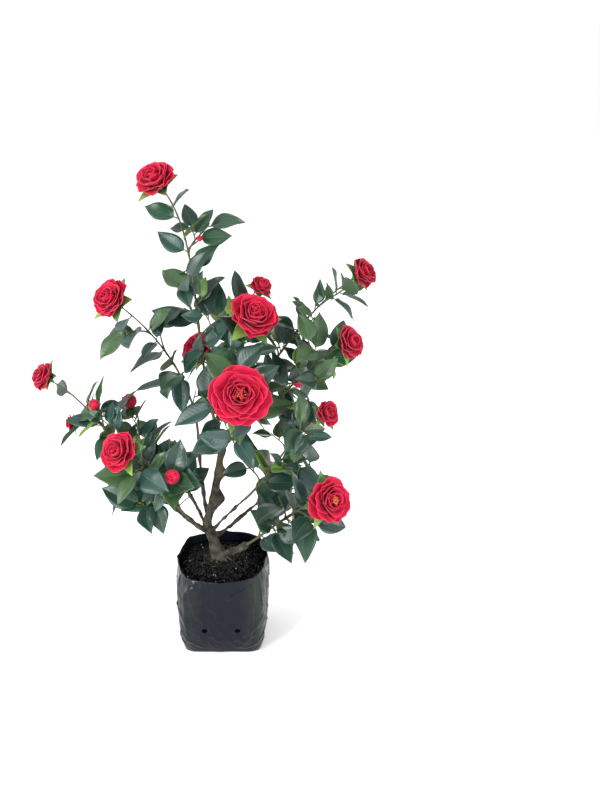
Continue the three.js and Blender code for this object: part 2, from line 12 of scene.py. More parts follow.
import bmesh
import bpy
import numpy as np
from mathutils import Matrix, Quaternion, Vector, noise
from mathutils.bvhtree import BVHTree
from mathutils.kdtree import KDTree


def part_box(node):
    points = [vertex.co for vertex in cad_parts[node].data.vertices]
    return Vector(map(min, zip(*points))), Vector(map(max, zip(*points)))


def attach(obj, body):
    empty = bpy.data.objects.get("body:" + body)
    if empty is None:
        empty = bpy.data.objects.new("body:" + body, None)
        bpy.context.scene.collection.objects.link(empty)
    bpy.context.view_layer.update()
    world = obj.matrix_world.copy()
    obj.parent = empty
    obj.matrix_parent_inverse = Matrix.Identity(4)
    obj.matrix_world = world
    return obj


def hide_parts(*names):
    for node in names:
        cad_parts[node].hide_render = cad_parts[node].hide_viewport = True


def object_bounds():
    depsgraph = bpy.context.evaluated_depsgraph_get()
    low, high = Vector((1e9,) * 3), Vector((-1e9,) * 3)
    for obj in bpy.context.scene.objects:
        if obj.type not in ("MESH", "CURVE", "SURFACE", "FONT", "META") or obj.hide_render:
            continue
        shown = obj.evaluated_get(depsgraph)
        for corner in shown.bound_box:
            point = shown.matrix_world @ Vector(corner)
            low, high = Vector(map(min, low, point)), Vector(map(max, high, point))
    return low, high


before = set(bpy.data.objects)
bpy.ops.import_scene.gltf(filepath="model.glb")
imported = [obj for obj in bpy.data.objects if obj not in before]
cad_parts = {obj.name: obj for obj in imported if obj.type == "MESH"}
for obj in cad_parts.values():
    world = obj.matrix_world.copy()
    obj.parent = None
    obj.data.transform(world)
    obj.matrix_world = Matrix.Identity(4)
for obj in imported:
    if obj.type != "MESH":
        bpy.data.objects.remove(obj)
CAD_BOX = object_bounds()
MM = 0.001  # this file counts in millimetres, and Blender in metres
print("frame:", len(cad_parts), "solids, box", [round(side, 3) for side in CAD_BOX[1] - CAD_BOX[0]])

# %% [markdown]
# ## Small tools
#
# Leaves, petals and soil crumbs are many and small, and a mesh object for each would be slow. A *heap*
# gathers the points and faces of many small shapes, each face with the number of its material, and turns
# them into one object at the end. Chance comes from dice that always roll the same for the same seed, so
# the plant is the same on every run.

# %% Dice and heaps
DICE_RUN = 2147483647  # dice repeat themselves only after about this many rolls
DICE_STEP = 16807
SEED_STEP = 48271


def dice(seed):
    """A function that gives the next number of a fixed run between 0 and 1."""
    state = [seed * SEED_STEP % DICE_RUN]

    def roll():
        state[0] = state[0] * DICE_STEP % DICE_RUN
        return state[0] / DICE_RUN

    return roll


def between(a, b, share):
    return a + (b - a) * share


def vary(base, span, chance):
    """A number from the base up to a span above it."""
    return base + span * chance


class Heap:
    """Small shapes gathered for one object: points in millimetres, and a material number for each face."""

    def __init__(self):
        self.points, self.faces, self.slots, self.uvs = [], [], [], []
        self.count = 0

    def add(self, points, faces, slots=0, uvs=None):
        points = np.asarray(points, dtype=float).reshape(-1, 3)
        faces = [[corner + self.count for corner in face] for face in faces]
        self.points.append(points)
        self.faces += faces
        self.slots += [slots] * len(faces) if isinstance(slots, int) else list(slots)
        self.uvs.append(np.zeros((len(points), 2)) if uvs is None else uvs)
        self.count += len(points)

    def build(self, name, materials):
        mesh = bpy.data.meshes.new(name)
        mesh.from_pydata(np.concatenate(self.points) * MM, [], self.faces)
        mesh.polygons.foreach_set("material_index", self.slots)
        mesh.polygons.foreach_set("use_smooth", [True] * len(self.faces))
        corners = np.empty(len(mesh.loops), dtype=np.int32)
        mesh.loops.foreach_get("vertex_index", corners)
        layer = mesh.uv_layers.new(name="place")
        layer.data.foreach_set("uv", np.concatenate(self.uvs)[corners].ravel())
        for material in materials:
            mesh.materials.append(material)
        mesh.update()
        piece = bpy.data.objects.new(name, mesh)
        bpy.context.scene.collection.objects.link(piece)
        return piece


def settle(piece, slot, *nodes):
    """Fix a finished piece to the plant's body, and let it stand for its solids. The slot is not used."""
    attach(piece, "root")
    if nodes:
        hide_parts(*nodes)


def triangles(piece):
    return sum(len(face.vertices) - 2 for face in piece.data.polygons)


print("the first roll of dice 1:", round(dice(1)(), 3))

# %% [markdown]
# A leaf or a petal is a thin sheet. The simplest closed sheet is a grid of points, a second grid a little
# below it, and a strip of faces round the edge. The grid's rows run along the blade and its columns run
# across it from right to left, so its upper side faces out.

# %% Sheets and tubes
UP = Vector((0, 0, 1))
NEARLY_UPRIGHT = 0.9
NO_LENGTH = 1e-9
TANGENT_STEP = 0.002


@lru_cache(maxsize=None)
def sheet_faces(rows, columns):
    """Faces of a closed sheet, and for each its side (1 top, -1 underside, 0 edge), row and column."""
    under = rows * columns
    faces, places = [], []
    for row in range(rows - 1):
        for column in range(columns - 1):
            a = row * columns + column
            b, c, d = a + columns, a + columns + 1, a + 1
            faces.append((a, b, c, d))
            places.append((1, row, column))
            faces.append((a + under, d + under, c + under, b + under))
            places.append((-1, row, column))
    edge = list(range(columns))
    edge += [row * columns + columns - 1 for row in range(1, rows)]
    edge += [(rows - 1) * columns + column for column in range(columns - 2, -1, -1)]
    edge += [row * columns for row in range(rows - 2, 0, -1)]
    for here, there in zip(edge, edge[1:] + edge[:1]):
        faces.append((here, there, there + under, here + under))
        places.append((0, here // columns, here % columns))
    return faces, places


def sheet(grid, thickness):
    """Points of a closed sheet: the grid, and the same grid sunk by the thickness along its normals."""
    along, across = np.gradient(grid, axis=0), np.gradient(grid, axis=1)
    normal = np.cross(along, across)
    normal /= np.maximum(np.linalg.norm(normal, axis=2, keepdims=True), NO_LENGTH)
    sunk = grid - normal * np.broadcast_to(thickness, grid.shape[:2])[..., None]
    return np.concatenate([grid.reshape(-1, 3), sunk.reshape(-1, 3)])


def sheet_map(along, across):
    """The map of a closed sheet's points: 0 to 1 along it, and 0 to 1 across it from columns of -1 to 1."""
    side = np.stack(np.broadcast_arrays(0.5 + across / 2, along), axis=-1).reshape(-1, 2)
    return np.concatenate([side, side])


def square_to(axis):
    """Any unit vector square to the axis."""
    helper = UP if abs(axis.z) < NEARLY_UPRIGHT else Vector((1, 0, 0))
    return helper.cross(axis).normalized()


class Curve:
    """A smooth curve from 0 to 1, given by the function of its points."""

    def __init__(self, point_at):
        self.point = point_at

    def tangent(self, share):
        before, after = max(0, share - TANGENT_STEP), min(1, share + TANGENT_STEP)
        return (self.point(after) - self.point(before)).normalized()

    def frames(self, count):
        """Places along the curve, each turned as little as possible from the one before."""
        side = square_to(self.tangent(0))
        places = []
        for i in range(count):
            share = i / (count - 1)
            tangent = self.tangent(share)
            side = (side - tangent * side.dot(tangent)).normalized()
            places.append((share, self.point(share), tangent, side))
        return places


def through(route):
    """A curve through every point of a route."""
    points = [Vector(point) for point in route]
    line = [2 * points[0] - points[1], *points, 2 * points[-1] - points[-2]]

    def point_at(share):
        place = share * (len(points) - 1)
        start = min(int(place), len(points) - 2)
        t = place - start
        a, b, c, d = line[start:start + 4]
        out, into = (c - a) * 0.5, (d - b) * 0.5
        return b + out * t + (3 * (c - b) - 2 * out - into) * t**2 + (2 * (b - c) + out + into) * t**3

    return Curve(point_at)


def bent(start, second, third, end):
    """A curve from a start to an end that leaves and arrives towards the two points between them."""
    return Curve(lambda t: (start * (1 - t) ** 3 + second * (3 * t * (1 - t) ** 2)
                            + third * (3 * t * t * (1 - t)) + end * t**3))


def straight(start, end):
    return bent(*(start.lerp(end, k / 3) for k in range(4)))


def tube(heap, frames, sides, radius_at, slot=0):
    """A closed tube round a curve's frames. The radius may change with the share and the turn."""
    points, faces = [], []
    for share, point, tangent, side in frames:
        across = tangent.cross(side)
        for i in range(sides):
            turn = 2 * pi * i / sides
            points.append(point + (side * cos(turn) + across * sin(turn)) * radius_at(share, turn))
    last = (len(frames) - 1) * sides
    for i in range(sides):
        after = (i + 1) % sides
        for ring in range(0, last, sides):
            faces.append((ring + i, ring + after, ring + sides + after, ring + sides + i))
    faces.append(tuple(range(sides - 1, -1, -1)))
    faces.append(tuple(range(last, last + sides)))
    heap.add([tuple(point) for point in points], faces, slot)


print("a closed sheet of 3 by 3 points has", len(sheet_faces(3, 3)[0]), "faces")

# %% [markdown]
# ## Finishes
#
# A leaf is waxy and dark, a petal is soft and deep red, bark is dull and rough, and the bag is a thin black
# film with a blurred shine. All of them vary a little from place to place. Two effects serve several
# materials, so each is a node group that is built once: *mottle* gives a mask of soft patches, and *grain*
# gives a height of fine lumps. A third, *veins*, sinks the side veins into a blade by its own map. The
# colours that belong to one place, such as the painted highlight along a petal's rim, are plain colours in
# materials of their own.

# %% Node groups
VEIN_SHARPNESS = 0.35  # below 1, the veins are narrow and the fields between them broad


def new_group(name, inputs, output):
    group = bpy.data.node_groups.new(name, "ShaderNodeTree")
    for label, value in inputs.items():
        socket = group.interface.new_socket(label, in_out="INPUT", socket_type="NodeSocketFloat")
        socket.default_value = value
    group.interface.new_socket(output, in_out="OUTPUT", socket_type="NodeSocketFloat")
    return group, group.nodes.new("NodeGroupInput"), group.nodes.new("NodeGroupOutput")


def add_node(tree, kind, **settings):
    node = tree.nodes.new(kind)
    for key, value in settings.items():
        setattr(node, key, value)
    return node


def calculate(tree, operation, *values):
    """A Math node: each value is a number or another node's output."""
    node = add_node(tree, "ShaderNodeMath", operation=operation)
    for socket, value in zip(node.inputs, values):
        if isinstance(value, (int, float)):
            socket.default_value = value
        else:
            tree.links.new(value, socket)
    return node.outputs[0]


def object_place(tree):
    """The place on the object itself, in metres, so that a finish moves with its piece."""
    return add_node(tree, "ShaderNodeTexCoord").outputs["Object"]


def noise_at(tree, place, scale, **settings):
    """A Noise node at a place and a scale, with its other sockets set by name."""
    cloud = add_node(tree, "ShaderNodeTexNoise")
    for key, value in settings.items():
        cloud.inputs[key].default_value = value
    tree.links.new(place, cloud.inputs["Vector"])
    tree.links.new(scale, cloud.inputs["Scale"])
    return cloud.outputs[0]


def build_mottle():
    """Soft patches, spread round a middle grey by the contrast and then cut off at black and white."""
    group, given, result = new_group("mottle", {"Scale": 60, "Contrast": 1.5}, "Mask")
    cloud = noise_at(group, object_place(group), given.outputs["Scale"], Detail=4)
    spread = calculate(group, "MULTIPLY", calculate(group, "SUBTRACT", cloud, 0.5), given.outputs["Contrast"])
    mask = add_node(group, "ShaderNodeClamp")
    group.links.new(calculate(group, "ADD", spread, 0.5), mask.inputs[0])
    group.links.new(mask.outputs[0], result.inputs["Mask"])
    return group


def build_grain():
    """Fine lumps. A stretch below 1 draws them out upwards."""
    group, given, result = new_group("grain", {"Scale": 900, "Stretch": 1}, "Height")
    squeeze = add_node(group, "ShaderNodeCombineXYZ")
    squeeze.inputs["X"].default_value = 1
    squeeze.inputs["Y"].default_value = 1
    group.links.new(given.outputs["Stretch"], squeeze.inputs["Z"])
    scaled = add_node(group, "ShaderNodeVectorMath", operation="MULTIPLY")
    group.links.new(object_place(group), scaled.inputs[0])
    group.links.new(squeeze.outputs[0], scaled.inputs[1])
    lumps = noise_at(group, scaled.outputs[0], given.outputs["Scale"], Detail=6, Roughness=0.6)
    group.links.new(lumps, result.inputs["Height"])
    return group


def build_veins():
    """Veins run from the middle of the blade towards its edge, and sweep forward as they go."""
    group, given, result = new_group("veins", {"Ribs": 9, "Sweep": 2.2}, "Height")
    place = add_node(group, "ShaderNodeUVMap", uv_map="place")
    split = add_node(group, "ShaderNodeSeparateXYZ")
    group.links.new(place.outputs[0], split.inputs[0])
    aside = calculate(group, "ABSOLUTE", calculate(group, "SUBTRACT", split.outputs["X"], 0.5))
    swept = calculate(group, "SUBTRACT",
                      calculate(group, "MULTIPLY", split.outputs["Y"], given.outputs["Ribs"]),
                      calculate(group, "MULTIPLY", aside, given.outputs["Sweep"]))
    wave = calculate(group, "ABSOLUTE", calculate(group, "SINE", calculate(group, "MULTIPLY", swept, pi)))
    group.links.new(calculate(group, "POWER", wave, VEIN_SHARPNESS), result.inputs["Height"])
    return group


MOTTLE, GRAIN, VEINS = build_mottle(), build_grain(), build_veins()
print("node groups:", MOTTLE.name, GRAIN.name, VEINS.name)

# %% Materials
MIX_MASK, MIX_DARK, MIX_BRIGHT, MIX_RESULT = 0, 6, 7, 2  # the places of a colour Mix node's sockets


def use_group(material, group, **values):
    node = add_node(material.node_tree, "ShaderNodeGroup", node_tree=group)
    for key, value in values.items():
        node.inputs[key].default_value = value
    return node.outputs[0]


def shader_of(material):
    return material.node_tree.nodes["Principled BSDF"]


def new_material(name, colour, roughness, **settings):
    """A material with one constant colour, and the sockets that stay the same all over it."""
    material = bpy.data.materials.new(name)
    material.use_nodes = True
    material.diffuse_color = (*colour, 1)
    shader = shader_of(material)
    shader.inputs["Base Color"].default_value = (*colour, 1)
    shader.inputs["Roughness"].default_value = roughness
    for key, value in settings.items():
        shader.inputs[key.replace("_", " ")].default_value = value
    return material


def vary_colour(material, mask, other):
    """Blend the colour that the material has so far with another one where the mask is bright."""
    tree, base = material.node_tree, shader_of(material).inputs["Base Color"]
    mix = add_node(tree, "ShaderNodeMix", data_type="RGBA")
    mix.inputs[MIX_DARK].default_value = base.default_value
    if base.is_linked:
        tree.links.new(base.links[0].from_socket, mix.inputs[MIX_DARK])
    mix.inputs[MIX_BRIGHT].default_value = (*other, 1)
    tree.links.new(mask, mix.inputs[MIX_MASK])
    tree.links.new(mix.outputs[MIX_RESULT], base)


def ramp(tree, value, sockets, **settings):
    """A Map Range node on a value, with its other sockets set by their labels."""
    node = add_node(tree, "ShaderNodeMapRange", **settings)
    for label, number in sockets.items():
        node.inputs[label].default_value = number
    tree.links.new(value, node.inputs["Value"])
    return node.outputs[0]


def vary_roughness(material, mask, low, high):
    spread = ramp(material.node_tree, mask, {"To Min": low, "To Max": high})
    material.node_tree.links.new(spread, shader_of(material).inputs["Roughness"])


def raise_relief(material, height, depth, strength):
    """A bump of a depth in millimetres."""
    tree = material.node_tree
    bump = add_node(tree, "ShaderNodeBump")
    bump.inputs["Distance"].default_value = depth * MM
    bump.inputs["Strength"].default_value = strength
    tree.links.new(height, bump.inputs["Height"])
    tree.links.new(bump.outputs[0], shader_of(material).inputs["Normal"])


def leaf_material(name, colour, roughness=0.26):
    material = new_material(name, colour, roughness, Specular_IOR_Level=0.46)
    patches = use_group(material, MOTTLE, Scale=90, Contrast=2)
    vary_roughness(material, patches, low=roughness, high=roughness + 0.16)
    raise_relief(material, use_group(material, VEINS, Ribs=9, Sweep=5), depth=0.12, strength=0.5)
    return material


def petal_material(name, colour):
    material = new_material(name, colour, 0.5, Specular_IOR_Level=0.2, Sheen_Weight=0.08, Sheen_Roughness=0.5)
    vary_roughness(material, use_group(material, MOTTLE, Scale=120, Contrast=2), low=0.45, high=0.6)
    raise_relief(material, use_group(material, VEINS, Ribs=0, Sweep=26), depth=0.06, strength=0.5)
    return material


def stem_material(name, colour, roughness=0.55):
    material = new_material(name, colour, roughness, Specular_IOR_Level=0.25)
    patches = use_group(material, MOTTLE, Scale=150, Contrast=2)
    vary_roughness(material, patches, low=roughness, high=roughness + 0.2)
    raise_relief(material, use_group(material, GRAIN, Scale=900, Stretch=0.3), depth=0.1, strength=0.4)
    return material


LEAF_TONES = [
    leaf_material("leaf_deep", (0.009, 0.034, 0.023)),
    leaf_material("leaf_blue", (0.016, 0.05, 0.042)),
    leaf_material("leaf_mid", (0.016, 0.055, 0.028)),
    leaf_material("leaf_fresh", (0.027, 0.068, 0.021)),
    leaf_material("leaf_young", (0.12, 0.22, 0.035), 0.36),
]
UNDERSIDE_TONES = [
    leaf_material("leaf_under_olive", (0.046, 0.088, 0.021), 0.48),
    leaf_material("leaf_under_dull", (0.034, 0.07, 0.03), 0.48),
]
RIB = stem_material("leaf_rib", (0.06, 0.115, 0.06), 0.45)
PETIOLE = stem_material("leaf_stalk", (0.1, 0.15, 0.035), 0.5)
TWIG = stem_material("twig_bark", (0.065, 0.066, 0.03), 0.6)
CRIMSON = petal_material("petal_crimson", (0.46, 0.005, 0.037))
# A darker copy of the crimson: painted shade for the blooms of the masses that stand in shadow.
CRIMSON_PAINTED_SHADE = petal_material("petal_crimson_painted_shade", (0.33, 0.003, 0.023))
# A lighter crimson for a thin strip along the petal rims: a painted highlight.
RIM_HIGHLIGHT = petal_material("petal_rim_painted_highlight", (0.55, 0.012, 0.056))
SEPAL = leaf_material("sepal_lime", (0.135, 0.25, 0.042), 0.45)
SEPAL_DARK = leaf_material("sepal_deep", (0.075, 0.16, 0.035), 0.45)
STAMEN = stem_material("stamen_stalk", (0.6, 0.36, 0.1), 0.5)
ANTHER = stem_material("anther", (0.5, 0.25, 0.03), 0.7)
print("materials:", len(bpy.data.materials))

# %% [markdown]
# ## Camera, light and floor
#
# The plant stands in a white studio. Large soft lamps stand to both sides and above, so that the waxy
# leaves and the bag's film catch broad, pale reflections, and the shadows stay soft. Two small low lamps
# draw bright lines along the folds of the film, which would vanish in even light. The camera stands a
# little under a metre away, above the crown, and looks down on the plant.

# %% The camera
CAMERA_PLACE = (0.067, -0.834, 0.525)
CAMERA_TILT = 70  # degrees, where 90 is level
CAMERA_LENS = 48.825
SENSOR_WIDTH = 36

scene = bpy.context.scene
scene.view_settings.view_transform = "Standard"
camera = bpy.data.objects.new("camera", bpy.data.cameras.new("camera"))
camera.data.lens = CAMERA_LENS
camera.data.sensor_width = SENSOR_WIDTH
camera.data.clip_end = 200
camera.location = CAMERA_PLACE
camera.rotation_euler = (radians(CAMERA_TILT), 0, 0)
scene.collection.objects.link(camera)
scene.camera = camera
print("camera looks down by", 90 - CAMERA_TILT, "degrees")

# %% Lamps and floor
SKY_STRENGTH = 1.04
CROWN_MIDDLE = (0, 0, CAD_BOX[1].z * 0.6)
BAG_MIDDLE = (0, 0, 0.06)
FLOOR_RADIUS = 40
FLOOR_CORNERS = 72

world = bpy.data.worlds.new("studio")
world.use_nodes = True
world.node_tree.nodes["Background"].inputs["Color"].default_value = (1, 1, 1, 1)
world.node_tree.nodes["Background"].inputs["Strength"].default_value = SKY_STRENGTH
scene.world = world


def soft_lamp(name, place, aim, size, power):
    lamp = bpy.data.objects.new(name, bpy.data.lights.new(name, "AREA"))
    lamp.data.shape = "DISK"
    lamp.data.size = size
    lamp.data.energy = power
    lamp.location = place
    lamp.rotation_euler = (Vector(aim) - Vector(place)).to_track_quat("-Z", "Y").to_euler()
    scene.collection.objects.link(lamp)


soft_lamp("key", (-0.9, -1.0, 1.3), CROWN_MIDDLE, size=0.7, power=20)
soft_lamp("left", (-1.5, -0.1, 0.5), CROWN_MIDDLE, size=0.5, power=7)
soft_lamp("right", (1.5, -0.3, 0.5), CROWN_MIDDLE, size=0.5, power=6)
soft_lamp("back", (0.3, 1.5, 1.2), CROWN_MIDDLE, size=0.8, power=7)
soft_lamp("low_left", (-0.85, -1.1, 0.22), BAG_MIDDLE, size=0.14, power=11)
soft_lamp("low_right", (1.0, -0.95, 0.3), BAG_MIDDLE, size=0.14, power=8)

floor_mesh = bpy.data.meshes.new("floor")
bearings = [2 * pi * i / FLOOR_CORNERS for i in range(FLOOR_CORNERS)]
rim = [(FLOOR_RADIUS * cos(bearing), FLOOR_RADIUS * sin(bearing), 0) for bearing in bearings]
floor_mesh.from_pydata(rim, [], [list(range(len(rim)))])
floor = bpy.data.objects.new("floor", floor_mesh)
floor.location.z = CAD_BOX[0].z
scene.collection.objects.link(floor)
floor_mesh.materials.append(new_material("studio_floor", (0.96, 0.96, 0.96), 0.9))
print("lamps:", len(bpy.data.lights), "and one floor")

# %% [markdown]
# ## The bag
#
# A grow-bag is a tube of black film, folded at the foot and filled, so it stands as a soft box with rounded
# corners that opens to a rough octagon. It could be draped by cloth simulation, but the folds of a filled
# bag are few and known: flat panels, upright folds where the film bends round a corner, and slanting
# creases. So the wall is a fine grid on the bag's own outline, and each fold is a ridge added to it.

# %% The bag's outline
BASE_HALF = (34.5, 28)  # half the width and half the depth at the foot
RIM_HALF = (39.5, 38)
WALL_SWELL = 4  # the higher, the nearer the foot the wall reaches the rim's size
RIM_HEIGHT = 78.5
RIM_RISE = 5.5  # the rim stands this much higher at the back, and lower in front
BASE_SQUARENESS = 6
RIM_SQUARENESS = 2.7  # 2 is an ellipse, and a high number is a square


def rim_height(turn):
    return RIM_HEIGHT + RIM_RISE * sin(turn)


def bag_point(turn, level, inset):
    """A place on the wall: round it by the turn, up it by the level, 0 to 1, and inside it by the inset."""
    spread = 1 - (1 - level) ** WALL_SWELL
    power = between(BASE_SQUARENESS, RIM_SQUARENESS, level)
    half_x = between(BASE_HALF[0], RIM_HALF[0], spread)
    half_y = between(BASE_HALF[1], RIM_HALF[1], spread)
    across = (abs(cos(turn)) / half_x) ** power + (abs(sin(turn)) / half_y) ** power
    radius = across ** (-1 / power) - inset
    return Vector((radius * cos(turn), radius * sin(turn), level * rim_height(turn)))


print("rim:", 2 * RIM_HALF[0], "by", 2 * RIM_HALF[1], "mm, and", rim_height(pi / 2), "mm up at the back")

# %% Where the film is taut and where it is creased
# Stiff film pulls straight between the corners that its folds make at the rim, given in degrees round it.
RIM_CORNERS = (3, 42, 88, 137, 181, 228, 266, 312)
TAUT_LEVEL = 0.85  # above it the wall turns from a round outline to straight panels
TAUT_BELOW = 0.24
TAUT_FRONT = 0.4  # the front of the rim has stayed rounder than the back

# Each crease runs from one place to another, a place being a turn in degrees and a level. It stands out by
# its height, or is pressed in where that is negative, and fades over its width.
CREASES = [
    # Upright folds in front, left and then right.
    ((230, 0.02), (227, 0.97), 0.9, 1.6), ((249, 0.3), (251, 0.96), -0.5, 1.4),
    ((211, 0.5), (213, 0.98), 0.6, 1), ((302, 0.04), (311, 0.98), 0.9, 1.6),
    ((286, 0.1), (289, 0.5), -0.3, 2), ((322, 0.55), (321, 0.98), 0.7, 1),
    # Slanting folds over the front left corner.
    ((216, 0.34), (244, 0.05), 0.9, 1.2), ((205, 0.66), (239, 0.36), 0.6, 1.3),
    ((213, 0.5), (238, 0.24), -0.6, 1.3), ((208, 0.24), (228, 0.03), 0.8, 1),
    ((203, 0.16), (219, 0.02), -0.7, 1), ((219, 0.19), (248, 0.03), -0.6, 1.1),
    # And over the front right corner.
    ((334, 0.3), (301, 0.05), 0.9, 1.2), ((326, 0.52), (296, 0.24), 0.6, 1.2),
    ((331, 0.42), (303, 0.16), -0.6, 1.3), ((338, 0.18), (314, 0.02), 0.8, 1),
    ((324, 0.13), (296, 0.03), -0.6, 1.1),
    # Slack folds across the front.
    ((257, 0.52), (281, 0.44), 0.3, 1.1), ((243, 0.74), (266, 0.6), 0.45, 1.2),
    ((262, 0.9), (279, 0.72), -0.4, 1.4), ((275, 0.76), (303, 0.9), 0.4, 1.3),
    # Upright folds at the sides and round the back.
    ((190, 0.96), (198, 0.1), 0.7, 1.8), ((345, 0.96), (340, 0.1), 0.7, 1.8),
    ((20, 0.05), (14, 0.95), 0.7, 2), ((52, 0.03), (46, 0.9), 0.9, 1.8),
    ((90, 0.1), (94, 0.8), -0.4, 2.4), ((128, 0.03), (134, 0.9), 0.9, 1.8),
    ((160, 0.05), (166, 0.95), 0.7, 2),
    # Slanting folds at the back.
    ((40, 0.3), (66, 0.08), 0.8, 1.2), ((140, 0.32), (114, 0.07), 0.8, 1.2),
    ((60, 0.6), (84, 0.4), 0.5, 1.2), ((118, 0.7), (100, 0.5), 0.5, 1.2),
]
ARC = 0.62  # millimetres along the wall for each degree round the bag
CREASE_DEPTH = 1.45  # every crease's height is multiplied by this
CREASE_SHARPNESS = 0.85  # and its width by this
CREASE_RISE = 6  # a crease has its full height from a sixth of its length on
CREASE_END = 0.15  # how much of it is left at its far end


def straight_share(degree):
    """How near the middle a straight panel between two rim corners comes, as a share of the round outline."""
    turn = (degree - RIM_CORNERS[0]) % 360 + RIM_CORNERS[0]
    for start, end in zip(RIM_CORNERS, (*RIM_CORNERS[1:], RIM_CORNERS[0] + 360)):
        if turn <= end:
            return cos(radians((end - start) / 2)) / cos(radians(turn - (start + end) / 2))
    return 1


def crease_height(degree, level):
    """How far all the creases together push the wall out at a place."""
    height = 0
    for (turn_a, level_a), (turn_b, level_b), push, width in CREASES:
        ax, ay = turn_a * ARC, level_a * RIM_HEIGHT
        dx, dy = turn_b * ARC - ax, level_b * RIM_HEIGHT - ay
        px = ((degree * ARC - ax + 180 * ARC) % (360 * ARC)) - 180 * ARC
        py = level * RIM_HEIGHT - ay
        share = min(1, max(0, (px * dx + py * dy) / (dx * dx + dy * dy)))
        gap2 = (px - share * dx) ** 2 + (py - share * dy) ** 2
        fade = exp(-gap2 / (CREASE_SHARPNESS * width) ** 2)
        ends = min(1, CREASE_RISE * share, CREASE_RISE * (1 - share) + CREASE_END)
        height += CREASE_DEPTH * push * fade * ends
    return height


print("creases:", len(CREASES), "and rim corners:", len(RIM_CORNERS))

# %% [markdown]
# Between its creases the film is never smooth. Three noises are enough: *crinkle* where it was crumpled,
# *slack* where its sides hang loose, and *sag* for the wide hollows that the soil leaves. A noise on a ring
# closes on itself, so no seam shows: the larger the ring, the smaller the waves round the bag.

# %% Crinkles, slack and sag
CRINKLE_HEIGHT = 0.8
CRINKLE_RING = 5
CRINKLE_SLANT = 2
CRINKLE_EDGE = 0.14  # the noise makes a ridge wherever it comes this near to zero
PATCHES = (0.4, 1.5)  # how much of the film is crumpled on the whole, and how uneven that is
PATCH_SCALE, PATCH_SHIFT = 0.35, Vector((3, 8, 1))
SLACK_HEIGHT = 0.75
SLACK_RINGS, SLACK_RISE, SLACK_SHIFT = (8, 4), 2.5, Vector((1, 6, 3))
SLACK_SLANT = 6
SLACK_IN_FRONT = 0.25  # how much of the slack is left at the middle of the front and the back
SAG_HEIGHT = 0.6
SAG_RING, SAG_RISE = 2.4, 3


def ring_place(turn, ring, high, slant=0):
    return Vector((cos(turn) * ring + slant, sin(turn) * ring, high))


def crinkle(turn, level):
    """Small sharp ridges, here and there, that run up and down more than round."""
    place = ring_place(turn, CRINKLE_RING, level * CRINKLE_RING, CRINKLE_SLANT * level)
    ridge = max(0, CRINKLE_EDGE - abs(noise.noise(place))) / CRINKLE_EDGE
    patch = vary(*PATCHES, noise.noise(place * PATCH_SCALE + PATCH_SHIFT))
    return CRINKLE_HEIGHT * ridge * max(0, patch)


def slack(turn, level):
    """Long slanting waves, where the film's sides hang loose."""
    slant = SLACK_SLANT * level * (1 if cos(turn) > 0 else -1)
    place = Vector((SLACK_RINGS[0] * cos(turn) + slant, SLACK_RINGS[1] * sin(turn), SLACK_RISE * level))
    loose = SLACK_IN_FRONT + (1 - SLACK_IN_FRONT) * abs(cos(turn))
    return SLACK_HEIGHT * noise.noise(place + SLACK_SHIFT) * loose


def sag(turn, level):
    """Wide hollows, up to half of their height in and out."""
    return noise.noise(ring_place(turn, SAG_RING, level * SAG_RISE)) * SAG_HEIGHT


print("slack half way up the left side:", round(slack(pi, 0.5), 2), "mm")

# %% The film
FILM = 0.55
BAG_FLOOR = 1
BAG_TURNS = 300
BAG_RINGS = 90
DEEPEST_DENT = 0.4
FOOT_FOLD = 5  # the folds have their full height from a fifth of the wall's height on
FOLD_AT_FOOT = 0.25
LIP_WAVE = 1.6  # how far the rim dips and rises
LIP_RING, LIP_SHIFT = 3.1, 7


def film_point(step, ring):
    degree = 360 * step / BAG_TURNS
    turn = radians(degree)
    level = ring / (BAG_RINGS - 1)
    point = bag_point(turn, level, 0)
    lip = max(0, (level - TAUT_LEVEL) / (1 - TAUT_LEVEL))
    taut_at_rim = TAUT_FRONT + (1 - TAUT_FRONT) * (1 + sin(turn)) / 2
    taut = between(TAUT_BELOW, taut_at_rim, lip * lip * (3 - 2 * lip))
    share = between(1, straight_share(degree), taut)
    point.x, point.y = point.x * share, point.y * share
    push = crease_height(degree, level) + crinkle(turn, level) + slack(turn, level) + sag(turn, level)
    push = max(-DEEPEST_DENT, push - SAG_HEIGHT / 2)
    point += Vector((cos(turn), sin(turn), 0)) * push * min(1, FOOT_FOLD * level + FOLD_AT_FOOT)
    point.z += lip**3 * LIP_WAVE * noise.noise(ring_place(turn, LIP_RING, LIP_SHIFT))
    return point


def build_film():
    """The outer wall, the same wall a film's thickness further in, and faces that close the two."""
    heap = Heap()
    wall = [[film_point(step, ring) for step in range(BAG_TURNS)] for ring in range(BAG_RINGS)]
    outside = [tuple(point) for row in wall for point in row]
    inside = []
    for row in wall:
        for point in row:
            inward = Vector((point.x, point.y, 0)).normalized() * FILM
            inside.append((point.x - inward.x, point.y - inward.y, max(point.z, BAG_FLOOR)))
    faces = []
    under = len(outside)
    for ring in range(BAG_RINGS - 1):
        for step in range(BAG_TURNS):
            a = ring * BAG_TURNS + step
            b = ring * BAG_TURNS + (step + 1) % BAG_TURNS
            faces.append((a, b, b + BAG_TURNS, a + BAG_TURNS))
            faces.append((a + under, a + BAG_TURNS + under, b + BAG_TURNS + under, b + under))
    top = (BAG_RINGS - 1) * BAG_TURNS
    for step in range(BAG_TURNS):
        a, b = top + step, top + (step + 1) % BAG_TURNS
        faces.append((a, b, b + under, a + under))
    faces.append(tuple(range(BAG_TURNS - 1, -1, -1)))
    faces.append(tuple(under + step for step in range(BAG_TURNS)))
    heap.add(outside + inside, faces)
    return heap
